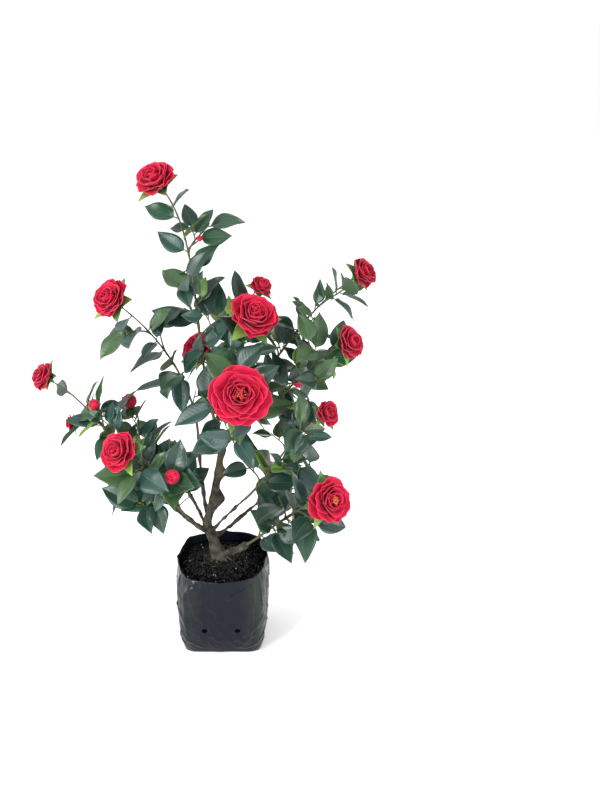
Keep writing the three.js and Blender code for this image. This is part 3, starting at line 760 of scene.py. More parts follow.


# %% [markdown]
# Water leaves through four round holes low in the wall, punched while the bag was flat. A boolean cut makes
# them, because it keeps the wall's creases right up to the edge of each hole. The film is nearly black in
# front, and its left and right sides are painted a greenish grey: a painted sheen of reflected light.

# %% Drain holes
DRAIN_RADIUS = 2.3
DRAIN_HEIGHT = 25.5
DRAIN_OFFSET = 14
DRAIN_SIDES = 24
PUNCH_LENGTH = 24


def apply_modifiers(piece):
    bpy.context.view_layer.update()
    shaped = bpy.data.meshes.new_from_object(piece.evaluated_get(bpy.context.evaluated_depsgraph_get()))
    piece.modifiers.clear()
    piece.data = shaped


def punch(piece, places, radius, length):
    """Cut a round hole through a piece at each place, from front to back."""
    cutter_mesh = bpy.data.meshes.new("punch")
    tool = bmesh.new()
    for place in places:
        made = bmesh.ops.create_cone(tool, cap_ends=True, segments=DRAIN_SIDES, radius1=radius * MM,
                                     radius2=radius * MM, depth=length * MM)
        bmesh.ops.rotate(tool, verts=made["verts"], cent=(0, 0, 0),
                         matrix=Vector((0, 1, 0)).to_track_quat("Z", "Y").to_matrix())
        bmesh.ops.translate(tool, verts=made["verts"], vec=Vector(place) * MM)
    tool.to_mesh(cutter_mesh)
    tool.free()
    cutter = bpy.data.objects.new("punch", cutter_mesh)
    scene.collection.objects.link(cutter)
    cut = piece.modifiers.new("punch", "BOOLEAN")
    cut.operation = "DIFFERENCE"
    cut.solver = "EXACT"
    cut.object = cutter
    apply_modifiers(piece)
    bpy.data.objects.remove(cutter)


# %% The film's finish
PAINTED_SHEEN_FROM, PAINTED_SHEEN_TO = 12, 34  # from the middle of the bag out to where the painted sheen is full
LEAST_PAINTED_SHEEN = 0.35


def object_axis(tree, axis):
    """A place's own X, Y or Z, in metres."""
    split = add_node(tree, "ShaderNodeSeparateXYZ")
    tree.links.new(object_place(tree), split.inputs[0])
    return split.outputs[axis]


def painted_sheen_mask(material):
    """A mask for the painted sheen: dark in the middle of the bag and bright at its left and right, broken up
    by mottle.
    """
    tree = material.node_tree
    aside = calculate(tree, "ABSOLUTE", object_axis(tree, "X"))
    sides = ramp(tree, aside, {"From Min": PAINTED_SHEEN_FROM * MM, "From Max": PAINTED_SHEEN_TO * MM},
                 interpolation_type="SMOOTHSTEP")
    patches = use_group(material, MOTTLE, Scale=70, Contrast=3)
    return calculate(tree, "MULTIPLY", sides, calculate(tree, "ADD", patches, LEAST_PAINTED_SHEEN))


FILM_FINISH = new_material("black_film", (0.003, 0.004, 0.009), 0.24, Specular_IOR_Level=0.19)
# Painted sheen: the film's left and right sides are blended to a greenish grey that stands for reflected
# light.
vary_colour(FILM_FINISH, painted_sheen_mask(FILM_FINISH), (0.0125, 0.0165, 0.0155))
vary_roughness(FILM_FINISH, use_group(FILM_FINISH, MOTTLE, Scale=90, Contrast=2.5), low=0.14, high=0.36)
raise_relief(FILM_FINISH, use_group(FILM_FINISH, GRAIN, Scale=150, Stretch=0.4), depth=1.2, strength=0.5)

bag = build_film().build("bag_film", [FILM_FINISH])
holes = [(x, y, DRAIN_HEIGHT) for x in (-DRAIN_OFFSET, DRAIN_OFFSET) for y in (-RIM_HALF[1], RIM_HALF[1])]
punch(bag, holes, DRAIN_RADIUS, PUNCH_LENGTH)
settle(bag, "film", "bag")
print("bag:", triangles(bag), "triangles and", len(holes) // 2, "pairs of holes")

# %% [markdown]
# ## The soil
#
# Potting soil is a dark, loose heap of crumbs with a few white specks of perlite, and it mounds up round
# the trunk. A height field gives the mound, and small uneven lumps are scattered on it. They are real
# geometry, because crumbs must break the line of the soil against the bag.

# %% The mound
SOIL_SEAT = 75  # the height of the soil round the trunk
SOIL_SEAT_FRACTION = 0.28  # how far out it stays level, as a share of the way to the bag
SOIL_EDGE_LEVEL = 0.87  # where on the bag's wall the soil ends
SOIL_FALL = 1.5
SOIL_INSET = 1.7
WIDE_LUMPS = (1.4, 0.12)  # their height, and how close together they stand
CLOSE_LUMPS = (1.3, 0.45)
LUMPS_RISE = 4  # they are full from a quarter of the fall on
SOIL_TURNS = 120
SOIL_RINGS = 40
SOIL_WALL_LEVELS = (0, 0.06, 0.2, 0.5, 0.8)
MIDDLE_HOLE = 0.02
SKIN_GAP = 0.3
TRUNK_FOOT = Vector((-2, 0, SOIL_SEAT + SKIN_GAP))


def soil_height(turn, fraction):
    edge = bag_point(turn, SOIL_EDGE_LEVEL, SOIL_INSET)
    fall = max(0, (fraction - SOIL_SEAT_FRACTION) / (1 - SOIL_SEAT_FRACTION))
    place = Vector((edge.x * fraction, edge.y * fraction, 0))
    lumps = sum(high * noise.noise(place * closeness) for high, closeness in (WIDE_LUMPS, CLOSE_LUMPS))
    height = between(SOIL_SEAT, edge.z, fall**SOIL_FALL) + lumps * min(1, fall * LUMPS_RISE)
    return place + Vector((0, 0, height))


def build_mound():
    """Rings up the bag's wall and then inwards over the top, closed at the foot and in the middle."""
    heap = Heap()
    turns = [2 * pi * i / SOIL_TURNS for i in range(SOIL_TURNS)]
    rings = [[bag_point(turn, level, SOIL_INSET) for turn in turns] for level in SOIL_WALL_LEVELS]
    for point in rings[0]:
        point.z = BAG_FLOOR + SKIN_GAP
    for ring in range(SOIL_RINGS):
        fraction = 1 - (1 - MIDDLE_HOLE) * ring / (SOIL_RINGS - 1)
        rings.append([soil_height(turn, fraction) for turn in turns])
    points = [tuple(point) for ring in rings for point in ring]
    faces = []
    for row in range(len(rings) - 1):
        for i in range(SOIL_TURNS):
            a, b = row * SOIL_TURNS + i, row * SOIL_TURNS + (i + 1) % SOIL_TURNS
            faces.append((a, b, b + SOIL_TURNS, a + SOIL_TURNS))
    last = (len(rings) - 1) * SOIL_TURNS
    faces.append(tuple(range(SOIL_TURNS - 1, -1, -1)))
    faces.append(tuple(last + i for i in range(SOIL_TURNS)))
    heap.add(points, faces)
    return heap


SOIL_FINISH = new_material("potting_soil", (0.0012, 0.0011, 0.0011), 0.9, Specular_IOR_Level=0.03)
vary_colour(SOIL_FINISH, use_group(SOIL_FINISH, MOTTLE, Scale=300, Contrast=2.5), (0.0034, 0.003, 0.0028))
raise_relief(SOIL_FINISH, use_group(SOIL_FINISH, GRAIN, Scale=700, Stretch=1), depth=0.8, strength=0.9)
mound = build_mound().build("soil_mound", [SOIL_FINISH])
settle(mound, "soil", "soil")

# %% Crumbs and perlite
CRUMBS = 3400
CRUMB_SIZE = (0.45, 1.5)
CRUMB_FINENESS = 3  # the higher, the more of the crumbs are small
CRUMB_ZONE = (0.12, 0.86)  # shares of the way from the trunk to the bag
CRUMB_EVENNESS = 0.6  # below 1, because the outer rings have more room
CRUMB_LIFT = 0.2  # how far a crumb stands out of the soil, beside its size
PERLITE_EVERY = 40
PERLITE_SIZE = 0.6  # beside a crumb
LUMP_SIDES = 5
LUMP_REACH, LUMP_TOP, LUMP_LOW = (0.7, 0.5), (0.5, 0.5), 0.7  # beside its size
FOOT_CRUMBS = 620  # heaped against the trunk's foot
FOOT_CRUMB_SIZE = (0.7, 1.1)
HEAP_NEAR, HEAP_FAR = 7.2, 14  # the heap's inner and outer radius
HEAP_HEIGHT = 2.6
HEAP_SLOPE = 1.5
HEAP_SIDES, HEAP_BROKEN = 3, (0.55, 0.45)  # it is high on three sides and low between them
HEAP_SCATTER = 0.6


def towards(bearing, rise):
    """The way that points at a bearing and a rise, both in degrees."""
    turn, climb = radians(bearing), radians(rise)
    return Vector((cos(climb) * cos(turn), cos(climb) * sin(turn), sin(climb)))


def add_lump(heap, centre, size, roll, slot=0):
    """A small stone: a ring of uneven corners between a top and a lowest point."""
    start = 6 * roll()
    turns = [start + 2 * pi * i / LUMP_SIDES for i in range(LUMP_SIDES)]
    ring = []
    for turn in turns:
        corner = Vector((cos(turn), sin(turn), roll() - 0.5))
        ring.append(centre + corner * size * vary(*LUMP_REACH, roll()))
    top, low = centre + UP * (size * vary(*LUMP_TOP, roll())), centre - UP * (size * LUMP_LOW)
    points = [tuple(point) for point in [*ring, top, low]]
    sides = [(i, (i + 1) % LUMP_SIDES) for i in range(LUMP_SIDES)]
    faces = [(a, b, LUMP_SIDES) for a, b in sides] + [(b, a, LUMP_SIDES + 1) for a, b in sides]
    heap.add(points, faces, slot)


def heap_level(turn, out):
    """How high the crumbs are heaped at a distance from the middle of the trunk's foot."""
    share = min(1, max(0, (out - HEAP_NEAR) / (HEAP_FAR - HEAP_NEAR)))
    return HEAP_HEIGHT * (1 - share) ** HEAP_SLOPE * vary(*HEAP_BROKEN, sin(HEAP_SIDES * turn + 1))


def scatter_crumbs():
    heap = Heap()
    roll = dice(4021)
    for i in range(CRUMBS):
        turn, fraction = 2 * pi * roll(), vary(*CRUMB_ZONE, roll() ** CRUMB_EVENNESS)
        size = vary(*CRUMB_SIZE, roll() ** CRUMB_FINENESS)
        white = i % PERLITE_EVERY == 0
        centre = soil_height(turn, fraction) + UP * (size * CRUMB_LIFT)
        add_lump(heap, centre, size * (PERLITE_SIZE if white else 1), roll, 1 if white else 0)
    for i in range(FOOT_CRUMBS):
        turn, out = 2 * pi * roll(), between(HEAP_NEAR, HEAP_FAR, roll())
        level = heap_level(turn, out) + HEAP_SCATTER * roll() - HEAP_SCATTER / 2
        centre = TRUNK_FOOT + towards(degrees(turn), 0) * out + UP * level
        add_lump(heap, centre, vary(*FOOT_CRUMB_SIZE, roll()), roll)
    return heap


CRUMB_FINISH = new_material("soil_crumb", (0.0015, 0.0015, 0.0016), 0.4, Specular_IOR_Level=0.26)
vary_colour(CRUMB_FINISH, use_group(CRUMB_FINISH, MOTTLE, Scale=240, Contrast=3), (0.0045, 0.0043, 0.0043))
vary_roughness(CRUMB_FINISH, use_group(CRUMB_FINISH, MOTTLE, Scale=500, Contrast=3), low=0.2, high=0.7)
PERLITE = new_material("perlite", (0.55, 0.54, 0.5), 0.8)
vary_colour(PERLITE, use_group(PERLITE, MOTTLE, Scale=900, Contrast=2), (0.3, 0.29, 0.26))
crumbs = scatter_crumbs().build("soil_crumbs", [CRUMB_FINISH, PERLITE])
settle(crumbs, "soil")
print("soil:", triangles(mound), "triangles")
print("crumbs:", CRUMBS + FOOT_CRUMBS, "of", triangles(crumbs), "triangles together")

# %% [markdown]
# ## Trunk and boughs
#
# A camellia's trunk is smooth and grey, but a pruned one wears old wounds that have healed as knobs, and a
# stub where a limb was cut. The limbs are tubes along smooth curves, and where tubes only cross, a hard
# line shows that no tree has. So all of them are remeshed together as one skin of small squares, smoothed,
# and then pushed in and out by noise to give the bark its ridges and lenticels.

# %% Sizes of the limbs
# A bearing is in degrees counter-clockwise from the right, seen from above: 90 is the back, -90 the front. A
# rise is in degrees above level, and a limb's lift is how much steeper it is at its tip than at its foot.
TRUNK_STRETCHES = [
    {"bearing": 172, "rise": 73, "lift": 0, "length": 35},
    {"bearing": -16, "rise": 76, "lift": 6, "length": 78},
]
TRUNK_RADII = (6.2, 2.4)  # at its foot and at the fork
TRUNK_TAPER = 0.7
FLARE = 2.2  # how much thicker the trunk is where it meets the soil
FLARE_HEIGHT = 5
FLARE_RIDGES = 3
RIDGE_DEPTH = 0.25
BOUGH_TAPER = 0.66  # a bough's tip beside its foot
LIMB_STEPS = 3  # the straight steps that a limb's route is made of
# Knobs: place along the trunk, direction round it, height and spread.
KNOBS = [
    (0.2, 3.4, 1.0, 0.035), (0.36, 0.2, 1.5, 0.04), (0.55, 3.6, 0.7, 0.03), (0.72, -0.3, 1.5, 0.03),
    (0.97, 2.0, 0.8, 0.04),
]
# Two of them have grown into burls, which stand out further than the solids show.
BURLS = [(0.67, 1.5, 6.5, 0.042), (0.82, 1.3, 5, 0.034)]
# A bough's name, the limb it grows from and where along it, its radius, bearing, rise, lift and length.
BOUGHS = [
    ("bough_low_right", "trunk", 0.07, 3.9, -32, 22, 16, 34),
    ("bough_left", "trunk", 0.34, 2.5, 197, 42, 6, 52),
    ("bough_left_front", "bough_left", 0.3, 1.6, 245, 42, 4, 27),
    ("bough_left_rise", "trunk", 0.37, 2, 130, 76, 10, 88),
    ("bough_leader", "trunk", 0.97, 2, 150, 75, 4, 56),
    ("bough_centre", "trunk", 0.96, 1.9, -68, 40, 4, 36),
    ("bough_right", "trunk", 0.97, 1.9, -12, 42, 0, 42),
    ("bough_upper_right", "trunk", 0.96, 1.8, 16, 55, 4, 50),
    ("bough_right_thin", "trunk", 0.38, 1.6, -22, 50, -4, 50),
    ("bough_centre_back", "trunk", 0.94, 1.8, 98, 42, 6, 48),
    ("bough_back_left", "trunk", 0.44, 2, 122, 30, 0, 60),
    ("bough_back_right", "trunk", 0.28, 2, 44, 18, 0, 60),
    ("bough_back_top", "trunk", 0.76, 1.9, 80, 30, 0, 66),
]


def walk(route, bearing, rise, lift, length):
    """Go on along a route from its last point, a limb's straight steps at a time."""
    for step in range(LIMB_STEPS):
        climb = rise + lift * step / (LIMB_STEPS - 1)
        route.append(route[-1] + towards(bearing, climb) * (length / LIMB_STEPS))
    return route


trunk_route = [TRUNK_FOOT]
for stretch in TRUNK_STRETCHES:
    walk(trunk_route, **stretch)
LIMBS = {"trunk": through(trunk_route)}
for name, parent, at, _, *course in BOUGHS:
    LIMBS[name] = through(walk([LIMBS[parent].point(at)], *course))
print("limbs:", len(LIMBS), "and the trunk ends", round(trunk_route[-1].z), "mm up")

# %% The trunk's thickness


def trunk_radius(share, turn):
    height = LIMBS["trunk"].point(share).z - TRUNK_FOOT.z
    flare = FLARE * exp(-height / FLARE_HEIGHT) * (1 + RIDGE_DEPTH * cos(FLARE_RIDGES * turn))
    knobs = 0
    for at, knob_turn, high, spread in KNOBS + BURLS:
        knobs += high * exp(-(((share - at) / spread) ** 2)) * max(0, cos(turn - knob_turn)) ** 2
    return between(*TRUNK_RADII, share**TRUNK_TAPER) + flare + knobs


print("trunk radius:", round(trunk_radius(0, 0), 1), "mm at its foot and", TRUNK_RADII[1], "mm at the fork")

# %% Limbs as tubes
TRUNK_RINGS, TRUNK_SIDES = 90, 28
BOUGH_RINGS, BOUGH_SIDES = 48, 14
STUB_AT = 0.66  # where along the low right bough a limb was cut off
STUB_HEADING = towards(-70, 24)
STUB_LENGTH = 7
STUB_RADIUS = 2.3
STUB_RINGS = 8
ROOT_RIDGES = 5
RIDGE_UNEVENNESS = 25  # degrees by which the ridges leave their even places
RIDGE_HEIGHT = 8  # how far up the trunk a root ridge starts
RIDGE_REACH = 9.5  # and how far out it ends
RIDGE_RADII = (2.6, 1.3)
RIDGE_RINGS, RIDGE_SIDES = 10, 12


def root_ridge(number):
    """A root's upper part, which runs down the trunk's foot and out into the soil."""
    away = towards(360 * number / ROOT_RIDGES + RIDGE_UNEVENNESS * sin(5 * number), 0)
    top, low = TRUNK_FOOT + away * 2 + UP * RIDGE_HEIGHT, TRUNK_FOOT + away * RIDGE_REACH - UP
    return bent(top, top + away * 2 - UP * 3, low - away * 2.5 + UP * 1.5, low)


def gather_limbs():
    """Every limb as a tube of its own. They cross where they meet."""
    heap = Heap()
    frames = LIMBS["trunk"].frames(TRUNK_RINGS)
    # The first ring lies flat, so that the trunk ends level at the soil.
    side = square_to(frames[4][2])
    frames[0] = (0, frames[0][1], UP, Vector((side.x, side.y, 0)).normalized())
    tube(heap, frames, TRUNK_SIDES, trunk_radius)
    for name, _, _, radius, *_ in BOUGHS:
        frames = LIMBS[name].frames(BOUGH_RINGS)
        tube(heap, frames, BOUGH_SIDES, lambda share, turn: radius * between(1, BOUGH_TAPER, share))
    foot = LIMBS["bough_low_right"].point(STUB_AT)
    stub = through([foot, foot + STUB_HEADING * STUB_LENGTH])
    tube(heap, stub.frames(STUB_RINGS), BOUGH_SIDES, lambda share, turn: STUB_RADIUS)
    for number in range(ROOT_RIDGES):
        frames = root_ridge(number).frames(RIDGE_RINGS)
        tube(heap, frames, RIDGE_SIDES, lambda share, turn: between(*RIDGE_RADII, share))
    return heap


# %% One skin of bark
SKIN_SQUARE = 0.42
SMOOTHINGS = 5
SWELLINGS, RIDGES, CRACKS, PORES = 1.35, 0.5, 0.4, 0.8  # how far each pushes the bark
SWELLING_SCALE, SWELLING_SHIFT = 0.13, Vector((2, 7, 4))
RIDGE_SCALES = (0.55, 0.12)  # round the limb, and up it, where a low number makes a long ridge
CRACK_SCALES, CRACK_SHIFT = (1.1, 0.5), UP * 40
PORE_SCALE, PORE_SHIFT = 1.3, Vector((9, 5, 2))
FEWER_PORES = 0.35
YOUNG_FROM, YOUNG_AT = 150, 190  # heights: up from the first the wood is young, and from the second all of it
YOUNG_SMOOTHNESS = 0.35  # how much of the relief is left on young wood
RELIEF_FADE = 110  # millimetres below young wood over which the relief grows to its full height


def grow_skin(heap):
    """One skin over all the tubes: remeshed in small squares, and smoothed where the limbs meet."""
    wood = heap.build("wood", [])
    skin = wood.modifiers.new("skin", "REMESH")
    skin.mode = "VOXEL"
    skin.voxel_size = SKIN_SQUARE * MM
    smooth = wood.modifiers.new("smooth", "SMOOTH")
    smooth.iterations = SMOOTHINGS
    smooth.factor = 0.5
    apply_modifiers(wood)
    return wood


def scaled(point, across, up):
    return Vector((point.x * across, point.y * across, point.z * up))


def bark_push(point):
    """Swellings, long shallow ridges, finer cracks and small raised pores."""
    swelling = noise.noise(point * SWELLING_SCALE + SWELLING_SHIFT)
    ridge = noise.noise(scaled(point, *RIDGE_SCALES))
    crack = abs(noise.noise(scaled(point, *CRACK_SCALES) + CRACK_SHIFT))
    pore = max(0, noise.noise(point * PORE_SCALE + PORE_SHIFT) - FEWER_PORES)
    return SWELLINGS * swelling + RIDGES * ridge - CRACKS * crack + PORES * pore


def push_bark(wood):
    """Push the skin in and out, least on the young wood, and never below the soil."""
    mesh = wood.data
    ground = TRUNK_FOOT.z * MM
    for vertex, normal in zip(mesh.vertices, [vertex.normal.copy() for vertex in mesh.vertices]):
        thick = min(1, YOUNG_SMOOTHNESS + max(0, (YOUNG_AT - vertex.co.z / MM) / RELIEF_FADE))
        vertex.co += normal * bark_push(vertex.co / MM) * thick * MM
        vertex.co.z = max(vertex.co.z, ground)
    mesh.polygons.foreach_set("use_smooth", [True] * len(mesh.polygons))
    mesh.update()


wood = grow_skin(gather_limbs())
push_bark(wood)
print("wood:", triangles(wood), "triangles in one skin over", 1 + len(BOUGHS), "limbs")

# %% [markdown]
# Old bark is grey-brown with pale patches, and where the young boughs fan out it turns to a golden tan. The
# skin is one piece, so its colour changes by height: the same blend that lays on the patches lays the tan
# over them.

# %% The bark's finish
YOUNG_WOOD = (0.095, 0.073, 0.03)

bark = new_material("bark", (0.019, 0.017, 0.012), 0.8, Specular_IOR_Level=0.2)
vary_colour(bark, use_group(bark, MOTTLE, Scale=220, Contrast=3.4), (0.07, 0.065, 0.049))
young = ramp(bark.node_tree, object_axis(bark.node_tree, "Z"),
             {"From Min": YOUNG_FROM * MM, "From Max": YOUNG_AT * MM})
vary_colour(bark, young, YOUNG_WOOD)
raise_relief(bark, use_group(bark, GRAIN, Scale=650, Stretch=0.3), depth=0.35, strength=0.7)
wood.data.materials.clear()
wood.data.materials.append(bark)
settle(wood, "bark", "trunk", *(bough[0] for bough in BOUGHS))
print("bark: young from", YOUNG_FROM, "mm up")

# %% [markdown]
# Thin pale roots leave the foot of the trunk and run over the soil before they sink into it. Each is a tube
# through a few places on the soil's own height, so it lies on the lumps and doesn't float.

# %% Fine roots
ROOTS = 12
ROOT_RADIUS = 0.42
ROOT_TIP = 0.35  # its radius at the tip beside that at its foot
ROOT_STEPS = 4
ROOT_RINGS, ROOT_SIDES = 20, 6
ROOT_START = 4  # how far out of the trunk's middle and how far up it a root starts
ROOT_NEAR = 7
ROOT_REACH = (6, 8)
ROOT_WANDER = 10  # degrees of bend for each step
ROOT_LIFT, ROOT_SINKING = 3, 0.8  # radii above the soil, and how many of them each step takes away


def ground_at(x, y):
    turn = atan2(y, x)
    edge = bag_point(turn, SOIL_EDGE_LEVEL, SOIL_INSET)
    return soil_height(turn, hypot(x, y) / hypot(edge.x, edge.y))


def lay_roots():
    """Each root starts on the trunk, runs over the heap and the mound, and ends just below the soil."""
    heap, roll = Heap(), dice(577)
    for i in range(ROOTS):
        bearing, reach = 360 * (i + 0.6 * roll()) / ROOTS, vary(*ROOT_REACH, roll())
        route = [TRUNK_FOOT + towards(bearing, 0) * ROOT_START + UP * (ROOT_START + 3 * roll())]
        for step in range(1, ROOT_STEPS + 1):
            way = bearing + ROOT_WANDER * step * (roll() - 0.5)
            out = ROOT_NEAR + reach * step / ROOT_STEPS
            place = TRUNK_FOOT + towards(way, 0) * out
            heaped = TRUNK_FOOT.z + heap_level(radians(way), out)
            lift = (ROOT_LIFT - ROOT_SINKING * step) * ROOT_RADIUS
            place.z = max(ground_at(place.x, place.y).z, heaped) + lift
            route.append(place)
        frames = through(route).frames(ROOT_RINGS)
        tube(heap, frames, ROOT_SIDES, lambda share, turn: ROOT_RADIUS * between(1, ROOT_TIP, share))
    return heap


roots = lay_roots().build("fine_roots", [stem_material("root_skin", (0.105, 0.085, 0.06), 0.7)])
settle(roots, "bark")
print("fine roots:", ROOTS)

# %% [markdown]
# ## How the masses grow
#
# Beyond each bough's tip the plant goes on as a stem, and side shoots fork from it. A shoot leaves partly
# along its parent, as real shoots do, and bends to its own heading. Side twigs stand round their stem, each
# a golden angle on from the one before. Leaves stand in two ranks, and dice choose how each one opens, so
# no two are alike. The plant's solids were grown by this same rule, so their leaves are found again here.

# %% The masses
# A mass is one stem, which grows on from its bough's tip, with a bloom of that radius at its end. Side twigs
# stand round it by a seeded rule, and `size` scales its leaves. Its other flowers and buds are on shoots that
# start `at` a share of the way along the stem.


def flower_shoot(at, bearing, rise, length, bloom=None, bud=None, leaves=2):
    return {"at": at, "heading": towards(bearing, rise), "length": length, "bloom": bloom, "bud": bud,
            "leaves": leaves}


def mass(bough, seed, size, bearing, rise, length, bloom, leaves, twigs, *flowers):
    stem = {"heading": towards(bearing, rise), "length": length, "bloom": bloom, "leaves": leaves,
            "stem": True}
    return {"bough": bough, "seed": seed, "size": size, "stem": stem, "twigs": twigs, "flowers": flowers}


MASSES = {
    "top_spray": mass("bough_leader", 117, 1, 179, 78, 170, 17, 9, 4,
                      flower_shoot(0.65, 10, 45, 14, bud=2.6, leaves=0)),
    "upper_left_spray": mass("bough_left_rise", 59, 1, 207, 61, 144, 17, 6, 5),
    "far_left_spray": mass("bough_left", 211, 0.85, 180, 49, 147, 12.5, 6, 3,
                           flower_shoot(0.55, 240, 65, 30, bud=5.2),
                           flower_shoot(0.6, 150, -10, 34, bloom=8.5),
                           flower_shoot(0.2, 115, 60, 66, bud=7.2)),
    "lower_left_spray": mass("bough_left_front", 83, 1.1, 218, 51, 94, 17, 5, 5,
                             flower_shoot(0.42, 290, 40, 36, bud=6.6)),
    "centre_front": mass("bough_centre", 31, 1.05, -78, 43, 77, 24, 4, 5,
                         flower_shoot(0.2, 14, 78, 92, bloom=21, leaves=4)),
    "centre_back": mass("bough_centre_back", 47, 0.95, 5, 68, 107, 11, 4, 3,
                        flower_shoot(0.2, 190, 56, 32, bloom=17),
                        flower_shoot(0.5, 88, 12, 54, bloom=15, leaves=3)),
    "right_spray": mass("bough_right", 71, 0.95, -8, 42, 102, 14, 6, 5),
    "upper_right_spray": mass("bough_upper_right", 137, 0.85, 4, 49, 139, 14, 6, 4,
                              flower_shoot(0.46, -60, 35, 22, bud=6.6)),
    "middle_right_spray": mass("bough_right_thin", 173, 0.85, -20, 50, 113, 11.5, 6, 4),
    "lower_right_spray": mass("bough_low_right", 19, 1.1, -34, 37, 106, 19.5, 6, 5),
    "back_left_mass": mass("bough_back_left", 97, 1, 160, 4, 68, 13, 5, 4,
                           flower_shoot(0.3, 112, -15, 42, bud=6)),
    "back_right_mass": mass("bough_back_right", 151, 1, 17, -4, 68, 15, 5, 4,
                            flower_shoot(0.1, 88, 8, 50, bud=7)),
    "back_top_mass": mass("bough_back_top", 223, 1, 88, 2, 64, 19, 5, 4,
                          flower_shoot(0.5, 12, 20, 64, bud=8)),
}

# %% How a shoot grows
STEM_GAP = 0.36  # between a bough's tip and the stem that grows on from it
STEM_RINGS = 6
SHOOT_RINGS = 3
SHOOT_CLIMB = 0.25  # how much a shoot turns up at its tip
LEAVING_HOLD = 0.35  # how long a shoot keeps its first direction, as a share of its length
ARRIVING_HOLD = 0.3  # and its last
FORK_HOLD = 0.65  # how much a side shoot leaves along its stem, and not along its own heading
FLOWER_SEAT = 0.85  # how far behind a flower's middle its shoot ends, in radii
FACE_OUTWARDS = 0.5
CROWN_AXIS_Y = 45  # how far behind the bag's middle the crown's axis stands


def outwards(point):
    return Vector((point.x, point.y - CROWN_AXIS_Y, 0)).normalized()


def point_on_tube(frames, share):
    place = share * (len(frames) - 1)
    start = min(int(place), len(frames) - 2)
    return frames[start][1].lerp(frames[start + 1][1], place - start)


def grow_shoot(foot, leaving, plan):
    """A shoot from its foot to its flower or its tip, which is its length away along its heading."""
    heading = plan["heading"]
    end = foot + heading * plan["length"]
    arriving = (heading + UP * SHOOT_CLIMB).normalized()
    radius = plan.get("bloom") or plan.get("bud")
    flower = None
    if radius:
        arriving = (heading + outwards(end) * FACE_OUTWARDS).normalized()
        flower = {"centre": end.copy(), "face": arriving, "radius": radius, "open": bool(plan.get("bloom"))}
        end -= arriving * FLOWER_SEAT * radius
    reach = (end - foot).length
    curve = bent(foot, foot + leaving * LEAVING_HOLD * reach, end - arriving * ARRIVING_HOLD * reach, end)
    frames = curve.frames(STEM_RINGS if plan.get("stem") else SHOOT_RINGS)
    return {**plan, "flower": flower, "curve": curve, "frames": frames}


def grow_side_shoot(stem, plan):
    """A side shoot leaves its stem partly along it and partly along its own heading."""
    foot = point_on_tube(stem["frames"], plan["at"])
    leaving = stem["curve"].tangent(plan["at"]) * FORK_HOLD + plan["heading"] * (1 - FORK_HOLD)
    return grow_shoot(foot, leaving.normalized(), plan)


# %% Side twigs
TWIG_LENGTH = 34
TWIG_SHORTENING = 0.3  # how much shorter a twig is at its stem's tip
TWIG_FIRST, TWIG_LAST = 0.06, 0.74  # shares of the stem between which twigs stand
TWIG_OPENING = 62  # degrees between a twig and its stem
TWIG_SPREAD = (0.8, 0.4)  # what chance makes of that angle and of the length
TWIG_CLIMB = 0.3
TWIG_LEAVES = 3
TURN_BETWEEN_TWIGS = 137.5
DICE_STRIDE = 1009  # between the seeds of one shoot's dice and the next one's


def plan_twigs(seed, count, stem):
    """Side twigs round a stem, each a golden angle on from the one before, and shorter towards its tip."""
    roll = dice(seed)
    start = 360 * roll()
    plans = []
    for i in range(count):
        place, opened, longer = roll(), roll(), roll()
        at = between(TWIG_FIRST, TWIG_LAST, (i + place) / count)
        tangent = stem["curve"].tangent(at)
        side = Quaternion(tangent, radians(start + i * TURN_BETWEEN_TWIGS)) @ square_to(tangent)
        opening = radians(TWIG_OPENING * vary(*TWIG_SPREAD, opened))
        heading = (tangent * cos(opening) + side * sin(opening) + UP * TWIG_CLIMB).normalized()
        length = TWIG_LENGTH * vary(*TWIG_SPREAD, longer) * (1 - TWIG_SHORTENING * at)
        plans.append({"at": at, "heading": heading, "length": length, "leaves": TWIG_LEAVES})
    return plans


def grow_shoots(plan):
    """Every shoot of a mass: its stem, its flower shoots and its side twigs, each with dice of its own."""
    limb = LIMBS[plan["bough"]]
    leaving = limb.tangent(1)
    stem = grow_shoot(limb.point(1) + leaving * STEM_GAP, leaving, plan["stem"])
    side_plans = [*plan["flowers"], *plan_twigs(plan["seed"], plan["twigs"], stem)]
    shoots = [stem, *(grow_side_shoot(stem, side_plan) for side_plan in side_plans)]
    for i, shoot in enumerate(shoots):
        shoot["roll"] = dice(plan["seed"] + DICE_STRIDE * (i + 1))
    return shoots


# %% Leaves by the rule
LEAF_LENGTH = 39
LEAF_LONG = (0.78, 0.34)  # what chance makes of a leaf's length
LEAF_SHORTENING = 0.25  # how much shorter a leaf is at its shoot's tip
LEAF_WIDE = (0.5, 0.12)  # its width beside its length
LEAF_DROOP = (0.06, 0.16)
LEAF_OPENING = (0.7, 0.5)  # radians between a leaf and its shoot
LEAVES_FROM_ON_STEM, LEAVES_FROM = 0.12, 0.35  # where along a shoot its leaves start
LEAVES_TO, LAST_LEAF = 0.95, 0.97
LEAF_PLACE = (0.35, 0.5)  # where a leaf stands in its own part of the shoot
LEAF_FACING = (0.55, 0.6, 0.7, 0.3)  # how much it faces up, outwards, by chance and along its shoot


